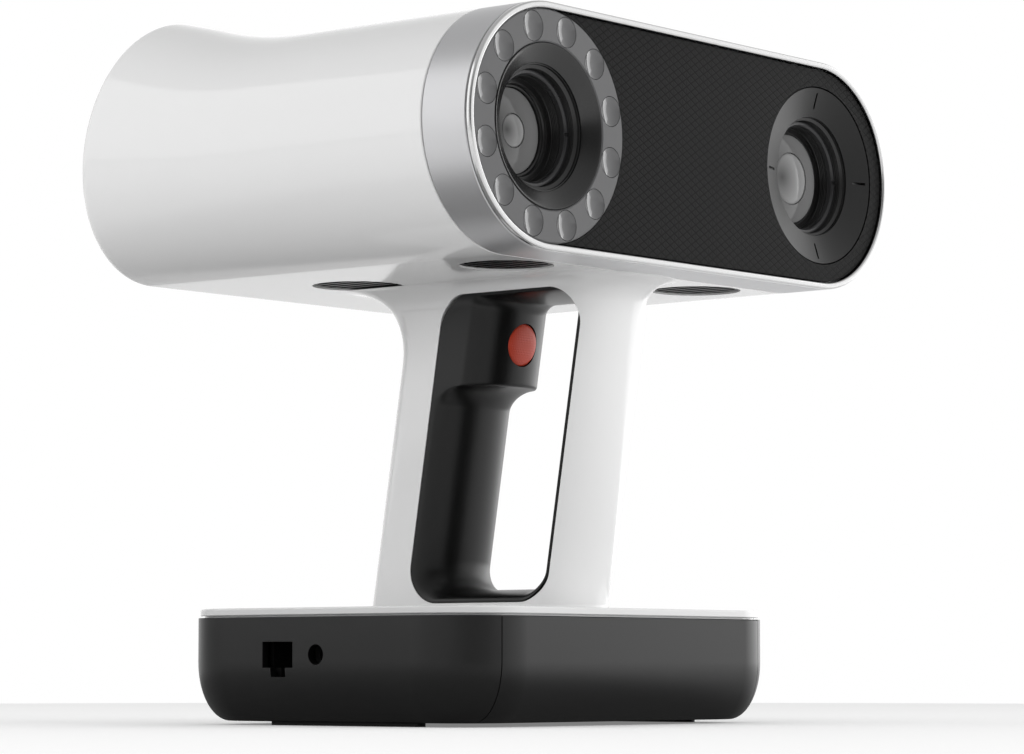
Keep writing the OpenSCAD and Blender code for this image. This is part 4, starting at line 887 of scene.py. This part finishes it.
plate_steps = [(deck_top, plate_step), (plate_low, plate_step)]
plate_steps += [(plate_low, plate_edge + plate_ease), (plate_low + plate_ease, plate_edge)]
for g in quarter:
    inset = plate_edge + plate_edge * (1 - math.cos(g))
    plate_steps.append((plate_top - plate_edge * (1 - math.sin(g)), inset))
plate = skin("base_top", [base_line(*s) for s in plate_steps], "capped")
smooth(plate, 40)
finish(plate, white_gloss, "white_shell", "base_plate")


# Base housing: a black moulding with a rounded lower edge, open in front for the battery pack,
# which runs on two rails, and closed behind for the sockets. Countersunk screws go up through it.
foot_h, base_rise, base_tuck, deck_z = 0.0012, 0.019, 0.0105, 0.0318
bay_half, bay_back, base_wall, pack_lip = 0.0661, 0.0763, 0.0026, 0.006
cavity_front, cavity_r, rail_in, rail_over = 0.0787, 0.005, 0.0024, 0.001


def rounded_stack(low, rise, tuck, top, steps):
    # Heights and insets of the rounded lower edge, a quarter of an ellipse, and of the top
    turn = [math.radians(90 * i / steps) for i in range(steps + 1)]
    return [(low + rise * (1 - math.cos(g)), tuck * (1 - math.sin(g))) for g in turn] + [(top, 0.0)]


def cavity_line(z, inset):
    half, rear_r = base_half - base_wall - inset, base_corner - base_wall - inset
    rear = base_rear - base_wall - inset
    line = []
    for side, end, c, s in corners(9):
        r, y = (rear_r, rear - rear_r) if end > 0 else (cavity_r, cavity_front + cavity_r)
        line.append(Vector((side * (half - r) + r * c, rim_y + y + r * s, z)))
    return line


def side_blocks(name, half, front, back, low, high):
    # One block on each side wall, from just in the wall to inside it
    for s in (-1, 1):
        x = sorted((s * (half + rail_over), s * (half - rail_in)))
        yield block(name, (x[0], front, low), (x[1], back, high))


base_stack = rounded_stack(foot_h, base_rise, base_tuck, deck_top, 20)
housing = skin("base_case", [base_line(*s) for s in base_stack], "capped")
cut_away(housing, block("bay_cutter", (-bay_half, rim_y, -0.01), (bay_half, rim_y + bay_back, deck_z)))
lip_back = rim_y + base_front + pack_lip + 0.0003
cut_away(housing, block("lip_cutter", (-bay_half, rim_y, -0.01), (bay_half, lip_back, 0.04)))
cavity_stack = rounded_stack(foot_h + base_wall, base_rise - base_wall, base_tuck - base_wall, deck_z, 8)
cut_away(housing, skin("cavity_cutter", [cavity_line(*s) for s in cavity_stack], "capped"))
rail_front, rail_back = rim_y + base_front + 0.014, rim_y + bay_back + 0.001
for rail in side_blocks("rail", bay_half, rail_front, rail_back, low=0.022, high=0.025):
    cut_away(housing, rail, "UNION")
wall_out, wall_in, power_y, power_z, power_r = -0.09, -0.0755, 0.00165, 0.0223, 0.0032
cut_away(housing, block("network_cutter", (wall_out, 0.01155, 0.0182), (wall_in, 0.02455, 0.0264)))
cut_away(housing, block("tab_cutter", (wall_out, 0.0149, 0.0153), (wall_in, 0.0212, 0.0190)))
cut_away(housing, rod("power_cutter", power_r, (wall_out, power_y, power_z), (wall_in, power_y, power_z)))
button_r, button_z = 0.00515, 0.0243
cut_away(housing, rod("button_cutter", button_r, (0, 0.062, button_z), (0, 0.072, button_z)))
contact_half, contact_front, contact_back = 0.0222, rim_y + bay_back - 0.001, rim_y + cavity_front + 0.001
low, high = (-contact_half, contact_front, 0.0149), (contact_half, contact_back, 0.0253)
cut_away(housing, block("contact_cutter", low, high))
screw_low, screw_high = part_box("base_screws")
head_r, shank_r, sink_low, sink_high = 0.003, 0.0017, deck_z - 0.0001, deck_z + 0.0016
for half, y in ((0.007, screw_low[1] + 0.0028), (0.010, screw_high[1] - 0.0028)):
    for x in (-half, half):
        cut_away(housing, rod("screw_cutter", head_r, (x, y, sink_low), (x, y, sink_high), shank_r, 32))
ease_edges(housing, 0.0003)
smooth(housing)
base_black = moulded("base_black", 0.006, 0.06, 0.33, 0.04, 4500.0, 0.00002, specular=0.6)
finish(housing, base_black, "base_black", "base_housing", "socket_plate")
dress(plain_steel, "base_screws")
dress(rubber, "rubber_feet")


# Battery pack: the front of the base, in the same black moulding, with grooves for the rails and
# gilt blades behind that enter the contact block in the bulkhead.
pack_half, pack_back, pack_top, lip_top, lip_y = 0.0658, 0.0760, 0.0315, 0.0339, base_front + pack_lip
pack = skin("battery_case", [base_line(*s) for s in base_stack], "capped")
side_view = [(0.0, 0.0), (pack_back, 0.0), (pack_back, pack_top)]
side_view += [(lip_y, pack_top), (lip_y, lip_top), (0.0, lip_top)]
pack_ends = [[Vector((x, rim_y + y, z)) for y, z in side_view] for x in (-pack_half, pack_half)]
cut_away(pack, skin("pack_keeper", pack_ends, "capped"), "INTERSECT")
groove_front, groove_back = rim_y + base_front + 0.0137, rim_y + 0.09
for groove in side_blocks("groove_cutter", pack_half, groove_front, groove_back, low=0.0217, high=0.0253):
    cut_away(pack, groove)
ease_edges(pack, 0.0003)
smooth(pack)
finish(pack, base_black, "base_black", "battery_pack", body="battery")
gilt = moulded("gilt", (0.80, 0.58, 0.22), 0.05, 0.25, 0.05, 2000.0, 0.00001, metallic=1.0)
dress(gilt, "pack_contacts")
dress(socket_black, "contact_block")


# Sockets: a circuit board on posts behind the pack with the network and power sockets in the left
# wall, and the power button in the rear wall with its switch.
button_grey = moulded("button_grey", (0.030, 0.030, 0.032), 0.06, 0.36, 0.05, 3000.0, 0.00002)
dress(board_green, "port_board")
dress(socket_black, "network_socket", "power_socket", "power_switch")
dress(button_grey, "power_button")


# Floor: a small pale table top. The camera sees it as white with the soft shadow of the part, and
# other rays see a painted shadow on it, dark near the part and pale further out.
deselect()
bpy.ops.mesh.primitive_circle_add(vertices=96, radius=0.75, fill_type="NGON")
floor = bpy.context.object
floor.name = "floor"
painted_shadow_middle, painted_shadow_end, pale_from, painted_shadow_tone, pale_tone = (-0.08, 0.06, 0), 0.17, 0.28, 0.32, 1.0
pale = bpy.data.materials.new("pale_floor")
pale.use_nodes = True
tree = pale.node_tree
seen = add(tree, "LightPath", {}).outputs["Is Camera Ray"]
place = add(tree, "TexCoord", {}).outputs["Object"]
# Painted shadow for rays other than the camera's: dark round a point near the part, pale further out
away = add(tree, "VectorMath", {0: place, 1: painted_shadow_middle}, operation="DISTANCE").outputs["Value"]
painted_shadow_floor = graded(tree, away, painted_shadow_end, pale_from, painted_shadow_tone, pale_tone)
shade = mixed(tree, seen, painted_shadow_floor, (0.86, 0.86, 0.86, 1))
feed(tree, tree.nodes["Principled BSDF"], {
    "Base Color": shade, "Roughness": 1.0, "Specular IOR Level": 0.0,
    "Emission Color": (1, 1, 1, 1), "Emission Strength": maths(tree, "MULTIPLY", seen, 0.21)})
floor.data.materials.append(pale)


# Light: a studio that is bright on the right and falls off to the left, with a tall soft box behind
# on the left, one on the right that is seen only in reflections, and two fills on the left and in
# front that light the part and aren't mirrored in it.
def soft_box(name, place, aim, width, height, radiance, mirrored=True, lights=True):
    light = bpy.data.lights.new(name, "AREA")
    light.shape = "RECTANGLE"
    light.size, light.size_y = width, height
    light.energy = radiance * math.pi * width * height
    lamp = bpy.data.objects.new(name, light)
    bpy.context.collection.objects.link(lamp)
    lamp.location = place
    lamp.rotation_euler = (Vector(aim) - Vector(place)).to_track_quat("-Z", "Y").to_euler()
    lamp.visible_camera = False
    lamp.visible_glossy = mirrored
    lamp.visible_diffuse = lights


soft_box("left_box", (-0.750, 0.805, 0.66), (0, 0, 0.66), 1.1, 1.0, 1.05)
soft_box("right_box", (1.287, -0.181, 0.40), (0, 0, 0.40), 1.1, 0.8, 1.25, lights=False)
soft_box("left_fill", (-1.2, -0.05, 0.42), (0, 0, 0.42), 1.4, 0.5, 1.9, mirrored=False)
soft_box("front_fill", (0.45, -1.15, 0.42), (0, 0, 0.42), 1.4, 0.5, 3.6, mirrored=False)
left_way, top_level, ground_level, seen_level = (-0.996, 0.087, 0), 0.55, 1.0, 1.0
world = bpy.data.worlds.new("studio")
bpy.context.scene.world = world
world.use_nodes = True
tree = world.node_tree
way = add(tree, "TexCoord", {}).outputs["Generated"]
axes = add(tree, "SeparateXYZ", {0: way}).outputs
seen = add(tree, "LightPath", {}).outputs["Is Camera Ray"]
left = add(tree, "VectorMath", {0: way, 1: left_way}, operation="DOT_PRODUCT").outputs["Value"]
right_side = graded(tree, axes["X"], -0.45, 0.75, 0.08, 1.15)
left_side = graded(tree, left, 0.6, 1.0, 0.0, 0.42)
around = maths(tree, "ADD", right_side, left_side)
sky = mixed(tree, graded(tree, axes["Z"], 0.2, 0.85, 0.0, 1.0), around, top_level, "FLOAT")
ground = mixed(tree, graded(tree, axes["Z"], -0.02, -0.07, 0.0, 1.0), sky, ground_level, "FLOAT")
strength = mixed(tree, seen, ground, seen_level, "FLOAT")
feed(tree, tree.nodes["Background"], {"Color": (1, 1, 1, 1), "Strength": strength})
bpy.context.scene.view_settings.view_transform = "Standard"


# View: low, to the left of the front and looking a little up, as in the photograph. The camera's
# place and lens were solved from the photograph's round ends and straight edges.
camera = bpy.data.cameras.new("camera")
camera.lens, camera.sensor_width = 125.83, 36
viewer = bpy.data.objects.new("camera", camera)
bpy.context.collection.objects.link(viewer)
viewer.location = (-0.9005, -0.76385, 0.0175)
viewer.rotation_euler = Vector((0.7640, 0.6400, 0.0816)).to_track_quat("-Z", "Y").to_euler()
bpy.context.scene.camera = viewer
